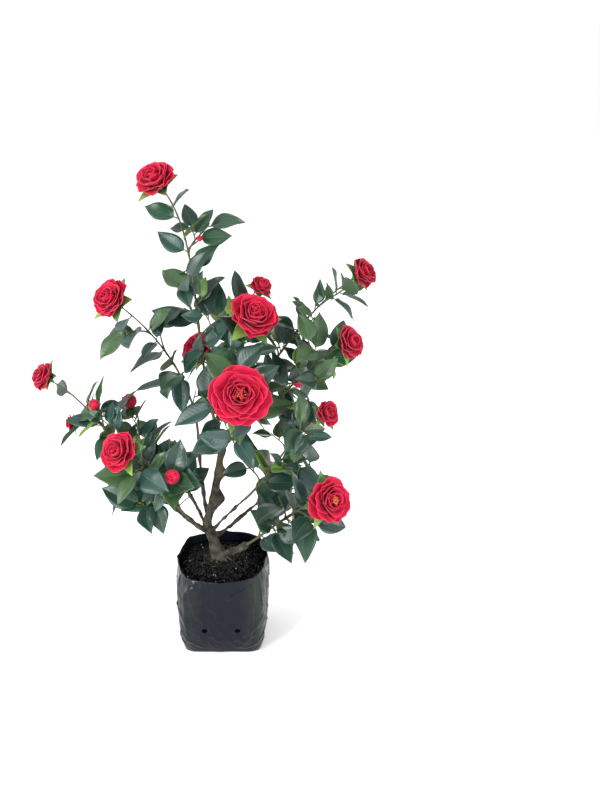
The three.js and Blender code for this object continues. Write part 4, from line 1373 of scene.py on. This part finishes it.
def leaves_on(shoot, size):
    """The leaves of one shoot, each with its root, its directions and its sizes."""
    roll, count = shoot["roll"], shoot["leaves"]
    first = LEAVES_FROM_ON_STEM if shoot.get("stem") else LEAVES_FROM
    up, out, by_chance, ahead = LEAF_FACING
    leaves = []
    for i in range(count):
        jitter = Vector((roll() - 0.5, roll() - 0.5, roll() - 0.5))
        place, opened, longer, wider, sag = (roll() for _ in range(5))
        part = (i + LEAF_PLACE[0] + LEAF_PLACE[1] * place) / count
        share = min(LAST_LEAF, first + (LEAVES_TO - first) * part)
        root = point_on_tube(shoot["frames"], share)
        tangent = shoot["curve"].tangent(share)
        facing = (UP * up + outwards(root) * out + jitter * by_chance + tangent * ahead).normalized()
        across = tangent.cross(facing).normalized()
        lean = vary(*LEAF_OPENING, opened)
        along = (tangent * cos(lean) + across * (-1 if i % 2 else 1) * sin(lean)).normalized()
        normal = (facing - along * facing.dot(along)).normalized()
        length = LEAF_LENGTH * size * vary(*LEAF_LONG, longer) * (1 - LEAF_SHORTENING * share)
        leaves.append({"share": share, "root": root, "along": along, "normal": normal, "length": length,
                       "width": length * vary(*LEAF_WIDE, wider), "droop": vary(*LEAF_DROOP, sag)})
    return leaves


def leaf_tip(leaf):
    return leaf["root"] + (leaf["along"] - leaf["normal"] * leaf["droop"]) * leaf["length"]


# %% Grow the masses
TIP_REACH = 0.3  # how near a corner of the solid must be to a leaf's tip


def corners_of(node):
    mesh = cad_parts[node].data
    tree = KDTree(len(mesh.vertices))
    for i, vertex in enumerate(mesh.vertices):
        tree.insert(vertex.co / MM, i)
    tree.balance()
    return tree


GROWN = {}
found = rolled = 0
for name, plan in MASSES.items():
    corners = corners_of(name)
    GROWN[name] = grow_shoots(plan)
    for shoot in GROWN[name]:
        planned = leaves_on(shoot, plan["size"])
        shoot["leaves"] = [leaf for leaf in planned if corners.find(leaf_tip(leaf))[2] < TIP_REACH]
        rolled += len(planned)
        found += len(shoot["leaves"])
FLOWERS = [shoot["flower"] for shoots in GROWN.values() for shoot in shoots if shoot["flower"]]
print("leaves rolled:", rolled, "and found in the solids:", found)

# %% [markdown]
# The solids leave out the youngest wood. Each shoot now gets a few *sprigs*, thinner twigs with two small
# leaves, by the same rule and on dice of their own. A sprig may only fill in what its mass already reaches:
# one with a leaf that would stand far from its mass's solid, cover a flower or cross a limb is left out.

# %% Room for sprigs
NODE_ROOM = 8  # how far past its node's box a leaf may go
LIMB_ROOM = 2.5
FLOWER_AHEAD, FLOWER_BEHIND, FLOWER_ASIDE = 3, 0.5, 1.05  # a flower's own room, in radii


def tree_of(*names):
    """One search tree over the solids of several nodes, in millimetres."""
    points, faces = [], []
    for name in names:
        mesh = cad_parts[name].data
        start = len(points)
        points += [vertex.co / MM for vertex in mesh.vertices]
        faces += [[start + corner for corner in face.vertices] for face in mesh.polygons]
    return BVHTree.FromPolygons(points, faces)


LIMB_TREE = tree_of("trunk", *(bough[0] for bough in BOUGHS))


def covers_flower(leaf):
    """Whether a leaf stands in front of a flower or between its petals."""
    for share in (0.45, 0.75, 1):
        point = leaf["root"] + leaf["along"] * share * leaf["length"]
        for flower in FLOWERS:
            offset, radius = point - flower["centre"], flower["radius"]
            ahead = offset.dot(flower["face"])
            aside = (offset - flower["face"] * ahead).length
            if -FLOWER_BEHIND * radius < ahead < FLOWER_AHEAD * radius and aside < FLOWER_ASIDE * radius:
                return True
    return False


def room_of(name):
    """The function that says whether a sprig's leaf keeps to its mass, clear of limbs and flowers."""
    mass_tree, (low, high) = tree_of(name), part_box(name)

    def has_room(leaf, reach):
        for point in (leaf_tip(leaf), leaf["root"].lerp(leaf_tip(leaf), 0.5)):
            inside = all(low[i] / MM - NODE_ROOM < point[i] < high[i] / MM + NODE_ROOM for i in range(3))
            clear = LIMB_TREE.find_nearest(point)[3] > LIMB_ROOM
            if not inside or not clear or mass_tree.find_nearest(point)[3] > reach:
                return False
        return not covers_flower(leaf)

    return has_room


# %% Sprigs
SPRIG_LENGTH = 17
SPRIG_LEAVES = 2
SPRIG_SIZE = 0.74
SPRIG_SPACING = 24  # millimetres of shoot for each sprig
SPRIG_REACH = 11  # how far from its mass's solid a sprig's leaf may stand
BOUGH_SPRIG_REACH = 17
BOUGH_SPRIGS_FROM = 0.3  # a bough is bare up to here
SPRIG_SEED = 30011


def outer_bough(name):
    """The outer part of a bough, as a shoot that sprigs can stand on."""
    limb = LIMBS[name]
    curve = Curve(lambda share: limb.point(between(BOUGH_SPRIGS_FROM, 1, share)))
    length = (curve.point(1) - curve.point(0)).length
    return {"curve": curve, "frames": curve.frames(STEM_RINGS), "length": length}


def grow_sprigs(shoots, seed, size, has_room, reach=SPRIG_REACH):
    """The sprigs of some shoots, each with those of its leaves that have room."""
    sprigs = []
    for number, shoot in enumerate(shoots):
        count = int(shoot["length"] / SPRIG_SPACING + 0.5)
        for i, plan in enumerate(plan_twigs(seed + DICE_STRIDE * number, count, shoot)):
            plan.update(length=SPRIG_LENGTH * plan["length"] / TWIG_LENGTH, leaves=SPRIG_LEAVES)
            sprig = grow_side_shoot(shoot, plan)
            sprig["roll"] = dice(seed + DICE_STRIDE * number + i + 1)
            sprig["sprig"] = True
            leaves = leaves_on(sprig, size * SPRIG_SIZE)
            sprig["leaves"] = [leaf for leaf in leaves if has_room(leaf, reach)]
            if sprig["leaves"]:
                sprigs.append(sprig)
    return sprigs


for name, plan in MASSES.items():
    seed, size, has_room = plan["seed"] + SPRIG_SEED, plan["size"], room_of(name)
    bough = outer_bough(plan["bough"])
    low_sprigs = grow_sprigs([bough], seed - DICE_STRIDE, size, has_room, BOUGH_SPRIG_REACH)
    GROWN[name] += grow_sprigs(GROWN[name], seed, size, has_room) + low_sprigs
    print(name, "leaves:", sum(len(shoot["leaves"]) for shoot in GROWN[name]))

# %% [markdown]
# ## Twigs
#
# Young camellia wood is thin and tan to olive, and swells a little at each node where a leaf sits. Each
# shoot is a tube that tapers towards its tip. It starts inside its parent, so no gap shows at the fork.

# %% Twigs
STEM_RADIUS, SHOOT_RADIUS, SPRIG_RADIUS = 1.1, 0.8, 0.55
TIP_RADIUS, TIP_SHARE = 0.5, 0.7  # a tip has the first, or the second's share of a thin shoot's radius
TWIG_RINGS = 26
TWIG_SIDES = 8
TWIG_ROOT = 0.8  # how far a twig starts inside its parent
NODE_SWELLING = 0.35
NODE_LENGTH = 0.02


def add_twig(heap, shoot):
    thick = STEM_RADIUS if shoot.get("stem") else SPRIG_RADIUS if shoot.get("sprig") else SHOOT_RADIUS
    tip = min(TIP_RADIUS, TIP_SHARE * thick)
    nodes = [leaf["share"] for leaf in shoot["leaves"]]

    def radius_at(share, turn):
        swelling = sum(NODE_SWELLING * exp(-(((share - node) / NODE_LENGTH) ** 2)) for node in nodes)
        return between(thick, tip, share) * (1 + min(NODE_SWELLING, swelling))

    frames = shoot["curve"].frames(TWIG_RINGS)
    share, point, tangent, side = frames[0]
    frames[0] = (share, point - tangent * TWIG_ROOT, tangent, side)
    tube(heap, frames, TWIG_SIDES, radius_at)


# %% [markdown]
# ## Leaves
#
# A camellia leaf is a stiff oval with a drawn-out tip. It folds a little along its pale midrib, arches down
# towards its tip, and no two lie the same way. Each blade is one closed sheet whose rows follow the leaf
# and whose two middle columns make the midrib. The dice choose how much it twists, bends and waves, and
# each leaf is dealt one tone of green, because a plain colour per leaf stays true on a joined mesh.

# %% One blade
BLADE_ROWS = 16
BLADE_COLUMNS = (-1, -0.74, -0.42, -0.08, 0.08, 0.42, 0.74, 1)  # the two in the middle bound the midrib
BLADE_THICKNESS = 0.42
STALK_SHARE = 0.12
BLADE_FOOT, BLADE_TIP = 0.62, 0.88  # the lower, the rounder that end
DRAWN_OUT = 0.32  # how much narrower the last part is, which makes the drip tip
BROADEST = 0.353
NARROWEST = 0.02
LEAF_FOLD = 0.13
FOLD_RISE, FOLD_FALL = 1.5, 0.7  # the blade rises steeply from its midrib and levels out at its edge
RIB_HALF = 0.26
RIB_TAPER = 0.75
RIB_AT_MOST = 0.35
RIB_SINK = 0.25
LEAF_TWIST = 0.7  # radians between the most to one side and to the other
LEAF_SICKLE = 0.16
LEAF_WAVE = (0.012, 0.02)
WAVES = 9


def blade_outline(v):
    """Half the blade's width as a share of its greatest, from the foot at 0 to the tip at 1."""
    return (v**BLADE_FOOT * (1 - v) ** BLADE_TIP * (1 - DRAWN_OUT * v**3)) / BROADEST


def blade_grid(leaf, roll):
    """The upper side's points. The dice choose the twist, the sideways bend and the waves of the edge."""
    rows = np.linspace(0, 1, BLADE_ROWS)[:, None] ** 0.92
    columns = np.array(BLADE_COLUMNS)[None, :]
    midrib = np.abs(columns) < 0.1
    length, width = leaf["length"], leaf["width"]
    twist, sickle = (roll() - 0.5) * LEAF_TWIST, (roll() - 0.5) * LEAF_SICKLE
    wave, phase = vary(*LEAF_WAVE, roll()), 6 * roll()
    half = np.maximum(NARROWEST, blade_outline(rows)) * width / 2
    rib = np.minimum(RIB_HALF * (1 - RIB_TAPER * rows), RIB_AT_MOST * half)
    y = np.where(midrib, np.sign(columns) * rib, columns * half)
    spread = np.abs(y) / (width / 2)
    share = STALK_SHARE + (1 - STALK_SHARE) * rows
    lift = LEAF_FOLD * width * (FOLD_RISE * spread - FOLD_FALL * spread**2)
    lift = lift - RIB_SINK * midrib * (1 - rows)
    ripple = wave * length * np.sin(WAVES * rows + phase + 2 * np.sign(columns)) * (np.abs(columns) ** 3)
    turn = twist * rows * (1 - 0.4 * rows)
    x = share * length + 0 * y
    side = y * np.cos(turn) - lift * np.sin(turn) + sickle * length * np.sin(pi * share)
    up = y * np.sin(turn) + lift * np.cos(turn) + ripple - leaf["droop"] * length * share**2
    along, normal = np.array(leaf["along"]), np.array(leaf["normal"])
    left = np.cross(normal, along)
    grid = np.array(leaf["root"]) + x[..., None] * along + side[..., None] * left + up[..., None] * normal
    return grid, rows, columns


# %% One leaf on its stalk
STALK_RADIUS = 0.55
STALK_TAPER = (1.15, -0.45)
STALK_ROOT = 0.3
STALK_RINGS, STALK_SIDES = 6, 6
TIP_THINNING, EDGE_THINNING = 0.5, 0.6
(DEEP, BLUE, MID, FRESH, YOUNG, UNDER_OLIVE, UNDER_DULL, RIB_SLOT, STALK_SLOT) = range(9)
LEAF_SLOTS = [*LEAF_TONES, *UNDERSIDE_TONES, RIB, PETIOLE]


def add_stalk(heap, leaf):
    root = leaf["root"] - leaf["along"] * STALK_ROOT
    seat = leaf["along"] * STALK_SHARE * leaf["length"]
    join = leaf["root"] + seat * 1.5 - leaf["normal"] * (leaf["droop"] * leaf["length"] * 0.03 + 0.5)
    stalk = bent(root, root + seat * 0.5, join - seat * 0.4, join)
    tube(heap, stalk.frames(STALK_RINGS), STALK_SIDES,
         lambda share, turn: STALK_RADIUS * vary(*STALK_TAPER, share), STALK_SLOT)


def add_leaf(heap, leaf, tone, under, roll):
    grid, rows, columns = blade_grid(leaf, roll)
    count = len(BLADE_COLUMNS)
    thin = (1 - EDGE_THINNING * np.abs(columns) ** 3) * (1 - TIP_THINNING * rows)
    faces, places = sheet_faces(BLADE_ROWS, count)
    slots = []
    for side, row, column in places:
        middle = column == count // 2 - 1
        slots.append(RIB_SLOT if side == 1 and middle else tone if side == 1 else under)
    heap.add(sheet(grid, BLADE_THICKNESS * thin), faces, slots, sheet_map(rows, columns))
    add_stalk(heap, leaf)


# %% Leaves and twigs of every mass
TONE_DEALS = [
    (DEEP, UNDER_DULL), (BLUE, UNDER_DULL), (DEEP, UNDER_OLIVE), (MID, UNDER_OLIVE), (BLUE, UNDER_DULL),
    (FRESH, UNDER_OLIVE), (DEEP, UNDER_DULL), (MID, UNDER_DULL), (FRESH, UNDER_OLIVE),
]
YOUNG_EVERY = 7  # one sprig's leaves in so many are still pale
LEAF_SEED = 5000
for name, plan in MASSES.items():
    leaves, twigs, roll = Heap(), Heap(), dice(plan["seed"] + LEAF_SEED)
    for shoot in GROWN[name]:
        add_twig(twigs, shoot)
        young = "sprig" in shoot and roll() < 1 / YOUNG_EVERY
        for leaf in shoot["leaves"]:
            tone, under = (YOUNG, UNDER_OLIVE) if young else TONE_DEALS[int(roll() * len(TONE_DEALS))]
            add_leaf(leaves, leaf, tone, under, roll)
    settle(leaves.build(name + "_leaves", LEAF_SLOTS), "leaf", name)
    settle(twigs.build(name + "_twigs", [TWIG]), "bark", name)
print("leaf and twig pieces:", 2 * len(MASSES))

# %% [markdown]
# ## Blooms
#
# A formal double camellia has dozens of petals round a tight heart. Each stands a golden angle on from the
# one inside it. The heart's petals curl in over the middle, the next ones stand up, and the outer ones lie
# open, with ruffled rims; a paler line along each rim is a painted highlight. One petal is a sheet that
# leaves the flower's axis at one angle and ends at another, and three short tables say how those angles
# change from the heart to the outside.

# %% One petal
PETAL_ROWS = (0, 0.16, 0.32, 0.48, 0.62, 0.75, 0.87, 0.975, 1)
PETAL_COLUMNS = (-1, -0.95, -0.68, -0.34, 0, 0.34, 0.68, 0.95, 1)
PETAL_THICKNESS = 0.32
PETAL_TURN = radians(TURN_BETWEEN_TWIGS)
ARC_STEPS = 32
NOTCH_DEPTH, NOTCH_WIDTH = 0.05, 0.16  # the dent in the middle of a rim
UNNOTCHED = 0.4  # the share of petals without one
ROUNDED_CORNERS = 0.2
FOOT_WIDTH = 0.3  # a petal's width at its foot, as a share of its greatest
SLOW_RUFFLE, QUICK_RUFFLE, QUICK_SHARE = 5.5, 12, 0.45


def petal_spine(form, radius, reach):
    """How far out, how high and how tilted a petal is at each share of its length."""
    lean, curl = radians(form["lean"]), radians(form["curl"] - form["lean"])
    steps = np.linspace(0, 1, ARC_STEPS + 1)
    angle = lean + curl * steps
    middle = angle[:-1] + np.diff(angle) / 2
    out = np.concatenate([[0], np.cumsum(np.sin(middle)) / ARC_STEPS])
    rise = np.concatenate([[0], np.cumsum(np.cos(middle)) / ARC_STEPS])
    rho = form["root"][0] * radius + np.interp(reach, steps, out) * form["length"] * radius
    high = form["root"][1] * radius + np.interp(reach, steps, rise) * form["length"] * radius
    return rho, high, lean + curl * reach


def petal_grid(flower, turn, form, roll):
    """A petal in its flower's frame. The form gives its root, angles, length, width, cup and ruffle."""
    centre, face, side, radius = flower
    v = np.array(PETAL_ROWS)[:, None]
    u = np.array(PETAL_COLUMNS)[None, :]
    notch = NOTCH_DEPTH * np.exp(-((u / NOTCH_WIDTH) ** 2)) * (roll() > UNNOTCHED)
    length = form["length"] * radius * (1 - ROUNDED_CORNERS * np.abs(u) ** 3 - notch)
    rho, high, tilt = petal_spine(form, radius, v * length / (form["length"] * radius))
    broad = FOOT_WIDTH + (1 - FOOT_WIDTH) * np.sin(pi / 2 * np.minimum(1, v * 1.25))
    half = form["width"] * radius / 2 * broad
    # The petal bends round an axis that stands `wrap` behind its spine.
    wrap = np.maximum(np.abs(rho), form["wrap"] * radius)
    phi = u * half / wrap
    inward = wrap * (1 - np.cos(phi))
    aside = wrap * np.sin(phi)
    waves = np.sin(SLOW_RUFFLE * u + 6 * roll()) + QUICK_SHARE * np.sin(QUICK_RUFFLE * u + 6 * roll())
    lift = form["ruffle"] * radius * v**2 * waves + form["cup"] * radius * (u**2) * v
    out = rho - inward - lift * np.cos(tilt)
    high = high + lift * np.sin(tilt)
    across = face.cross(side)
    radial = np.array(side * cos(turn) + across * sin(turn))
    tangent = np.array(across * cos(turn) - side * sin(turn))
    grid = (np.array(centre) + out[..., None] * radial + aside[..., None] * tangent
            + high[..., None] * np.array(face))
    return grid, v, u


# %% A petal's slots
PETAL_FACE, RIM_HIGHLIGHT_SLOT, SEPAL_SLOT, SEPAL_DEEP_SLOT, STAMEN_SLOT, ANTHER_SLOT = range(6)
RIM_HIGHLIGHT_ROWS = 2
RIM_HIGHLIGHT_SIDES_FROM = 3  # the row above which a petal's side edges carry the painted highlight as well


def add_petal(heap, flower, turn, form, roll):
    grid, v, u = petal_grid(flower, turn, form, roll)
    rows, columns = len(PETAL_ROWS), len(PETAL_COLUMNS)
    faces, places = sheet_faces(rows, columns)
    slots = []
    for side, row, column in places:
        at_side = column in (0, columns - 2, columns - 1) and row > RIM_HIGHLIGHT_SIDES_FROM
        # The rim strip gets the lighter crimson, a painted highlight.
        rim = row >= rows - RIM_HIGHLIGHT_ROWS or at_side
        slots.append(RIM_HIGHLIGHT_SLOT if rim and form["rim_highlight"] else PETAL_FACE)
    heap.add(sheet(grid[:, ::-1], PETAL_THICKNESS), faces, slots, sheet_map(v, u))


# %% [markdown]
# A camellia's petals open in whorls. The petals of one whorl are nearly equal, and the next whorl stands
# further out, so the bloom shows rings and not one even spiral. A bud is the same petals with other angles:
# they bend right over its top. A sepal is a petal that narrows to a point.

# %% A bloom
LAYER = (0, 0.25, 0.5, 0.75, 1)  # from the heart to the outside
LEANS = (8, 20, 33, 46, 57)  # a petal's angle to the flower's axis at its foot
CURLS = (-34, 6, 40, 66, 84)  # and at its rim
LENGTHS = (0.86, 0.94, 0.98, 0.99, 0.95)  # in radii of the flower, as the widths are
WIDTHS = (0.6, 0.88, 1.12, 1.26, 1.3)
CURL_SPREAD = 26
TURN_SPREAD = 0.3
PETAL_LONG = (0.92, 0.16)  # what chance makes of a petal's length
# These change evenly: each has its value at the heart, and what is added on the way to the outside.
ROOT_OUT, ROOT_HIGH = (0.03, 0.1), (-0.52, -0.06)
WRAPS, CUPS, RUFFLES = (0.16, 0.5), (0.05, 0.1), (0.016, 0.056)
RIM_HIGHLIGHT_FROM = 0.3  # the layer from which petals have a painted highlight along their rim
SMALL_BLOOM, LARGE_BLOOM = 8, 24  # radii
FEWEST_PETALS, MOST_PETALS = 15, 32
WHORL = 5  # petals that open together
WHORL_SPREAD = 0.85  # how far a whorl's petals are spread towards the next one
HEART_CROWDING = 1.2  # above 1, more of the petals stand near the heart
HALF_OPEN = 10  # degrees by which the outer petals stand less far open where the heart is closed


def petal_form(layer, held, roll):
    """A petal's form by its layer. Where its tip is held, it stands less far open the further out it is."""
    rows = (LEANS, CURLS, LENGTHS, WIDTHS)
    lean, curl, length, width = (float(np.interp(layer, LAYER, row)) for row in rows)
    return {"root": (vary(*ROOT_OUT, layer), vary(*ROOT_HIGH, layer)), "lean": lean,
            "curl": curl - held * layer + (roll() - 0.5) * CURL_SPREAD,
            "length": length * vary(*PETAL_LONG, roll()), "width": width, "wrap": vary(*WRAPS, layer),
            "cup": vary(*CUPS, layer), "ruffle": vary(*RUFFLES, layer), "rim_highlight": layer > RIM_HIGHLIGHT_FROM}


def add_bloom(heap, flower, open_heart, roll):
    centre, face, side, radius = flower
    share = (radius - SMALL_BLOOM) / (LARGE_BLOOM - SMALL_BLOOM)
    count = round(between(FEWEST_PETALS, MOST_PETALS, share))
    places = [i // WHORL + WHORL_SPREAD * (i % WHORL) / WHORL for i in range(count)]
    for i, place in enumerate(places):
        layer = (place / places[-1]) ** HEART_CROWDING
        form = petal_form(layer, 0 if open_heart else HALF_OPEN, roll)
        add_petal(heap, flower, i * PETAL_TURN + TURN_SPREAD * (roll() - 0.5), form, roll)


# %% A bud, its sepals and its seat
BUD_PETALS = 9
BUD_LEAN = 86
BUD_SWEEPS = (196, 140)  # degrees through which a bud's petals bend, innermost and outermost
BUD_SWEEP_SPREAD = 10
BUD_RADII = (0.72, 0.9)  # the radii that they bend round
SEPALS = 5
SEPAL_THICKNESS = 0.4
SEPAL_CURL_SPREAD = 24
SEPAL_LONG = (0.8, 0.4)
SEPAL_NARROWS_FROM = 0.45
SEPAL_POINT = 0.03  # its width at the tip beside a petal's
SEAT_RADIUS = (0.6, 0.16)  # at the stalk, and what each millimetre of the flower's radius adds at the top
SEAT_TOP = 0.6  # radii behind the flower's middle
SEAT_RINGS, SEAT_SIDES = 8, 10


def add_bud(heap, flower, roll):
    """The inner petals close over the top. The outer ones end lower down, so that their edges show."""
    for i in range(BUD_PETALS):
        share = i / (BUD_PETALS - 1)
        sweep = between(*BUD_SWEEPS, share) - BUD_SWEEP_SPREAD * roll()
        length = radians(sweep) * between(*BUD_RADII, share)
        form = {"root": (0.1, -0.9), "lean": BUD_LEAN, "curl": BUD_LEAN - sweep, "length": length,
                "width": 1.35, "wrap": 0.7, "cup": 0.02, "ruffle": 0.014, "rim_highlight": i > 1}
        add_petal(heap, flower, i * PETAL_TURN, form, roll)


def add_sepals(heap, flower, length, width, roll, angles=(46, 96)):
    """Green sepals behind a flower, light and deep by turns, from one angle at their foot to another."""
    start = 6 * roll()
    for i in range(SEPALS):
        curl = angles[1] + SEPAL_CURL_SPREAD * (roll() - 0.5)
        form = {"root": (0.05, -0.86), "lean": angles[0], "curl": curl,
                "length": length * vary(*SEPAL_LONG, roll()), "width": width, "wrap": 0.6, "cup": 0.08,
                "ruffle": 0.012}
        grid, v, u = petal_grid(flower, start + 2 * pi * i / SEPALS, form, roll)
        spine = grid[:, len(PETAL_COLUMNS) // 2][:, None, :]
        to_tip = np.maximum(0, (v - SEPAL_NARROWS_FROM) / (1 - SEPAL_NARROWS_FROM))
        grid = spine + (grid - spine) * np.maximum(SEPAL_POINT, 1 - to_tip**1.6)[..., None]
        faces, places = sheet_faces(len(PETAL_ROWS), len(PETAL_COLUMNS))
        slot = SEPAL_DEEP_SLOT if i % 2 else SEPAL_SLOT
        heap.add(sheet(grid[:, ::-1], SEPAL_THICKNESS), faces, slot, sheet_map(v, u))


def add_seat(heap, flower, stalk_end):
    """The green cup under a flower, from the end of its stalk to where its petals start."""
    centre, face, side, radius = flower
    top = centre - face * radius * SEAT_TOP
    gap = (top - stalk_end).length
    seat = bent(stalk_end - face, stalk_end.lerp(top, 0.3), top - face * gap * 0.4, top)
    narrow, widening = SEAT_RADIUS
    tube(heap, seat.frames(SEAT_RINGS), SEAT_SIDES,
         lambda share, turn: narrow + widening * radius * share**0.7, SEPAL_DEEP_SLOT)


# %% Stamens
OPEN_HEARTS = {"lower_right_spray": 30, "centre_front": 18}  # stamens in the blooms that show them
STAMEN_REACH = 0.11
STAMEN_HEIGHT = (0.22, 0.12)
STAMEN_RADIUS = 0.16
ANTHER_LENGTH = 0.9
ANTHER_RADII = (0.2, 0.28)


def add_stamens(heap, flower, count, roll):
    """Stalks that spread a little from the heart, spaced as seeds are in a head, each with its anther."""
    centre, face, side, radius = flower
    across = face.cross(side)
    for i in range(count):
        turn, out = i * PETAL_TURN, STAMEN_REACH * radius * ((i + 0.5) / count) ** 0.5
        radial = side * cos(turn) + across * sin(turn)
        foot = centre + radial * out * 0.5 - face * 0.5 * radius
        tip = centre + radial * out * 1.3 + face * radius * vary(*STAMEN_HEIGHT, roll())
        tube(heap, straight(foot, tip).frames(4), 5, lambda share, turn: STAMEN_RADIUS, STAMEN_SLOT)
        tube(heap, straight(tip, tip + face * ANTHER_LENGTH).frames(4), 6,
             lambda share, turn: vary(*ANTHER_RADII, sin(pi * min(0.92, share + 0.1))), ANTHER_SLOT)


# %% Flowers of every mass
OPEN_SIDE = towards(-90, 8)  # the side that the light comes from, to which the front flowers turn a little
TURN_TO_OPEN_SIDE = 0.45
# The blooms of these masses get the darker crimson, as painted shade.
PAINTED_SHADE_MASSES = {"right_spray", "middle_right_spray", "far_left_spray", "upper_right_spray"}
BUD_SEPAL_ANGLES = (70, 20)  # a bud's sepals clasp it
FLOWER_SEED = 9000
for name, plan in MASSES.items():
    heap, roll = Heap(), dice(plan["seed"] + FLOWER_SEED)
    for shoot in GROWN[name]:
        if not shoot["flower"]:
            continue
        grown = shoot["flower"]
        face = grown["face"]
        if grown["centre"].y < CROWN_AXIS_Y:
            face = (face + OPEN_SIDE * TURN_TO_OPEN_SIDE).normalized()
        flower = (grown["centre"], face, square_to(face), grown["radius"])
        add_seat(heap, flower, shoot["curve"].point(1))
        if grown["open"]:
            open_heart = name in OPEN_HEARTS and "stem" in shoot
            add_bloom(heap, flower, open_heart, roll)
            add_sepals(heap, flower, 1.22, 0.85, roll)
            if open_heart:
                add_stamens(heap, flower, OPEN_HEARTS[name], roll)
        else:
            add_bud(heap, flower, roll)
            add_sepals(heap, flower, 1.1, 0.8, roll, BUD_SEPAL_ANGLES)
    # The darker crimson given here is painted shade.
    petals = CRIMSON_PAINTED_SHADE if name in PAINTED_SHADE_MASSES else CRIMSON
    piece = heap.build(name + "_flowers", [petals, RIM_HIGHLIGHT, SEPAL, SEPAL_DARK, STAMEN, ANTHER])
    settle(piece, "petal", name)
    print(name, "flowers:", triangles(piece), "triangles")
print("flowers:", len(FLOWERS))
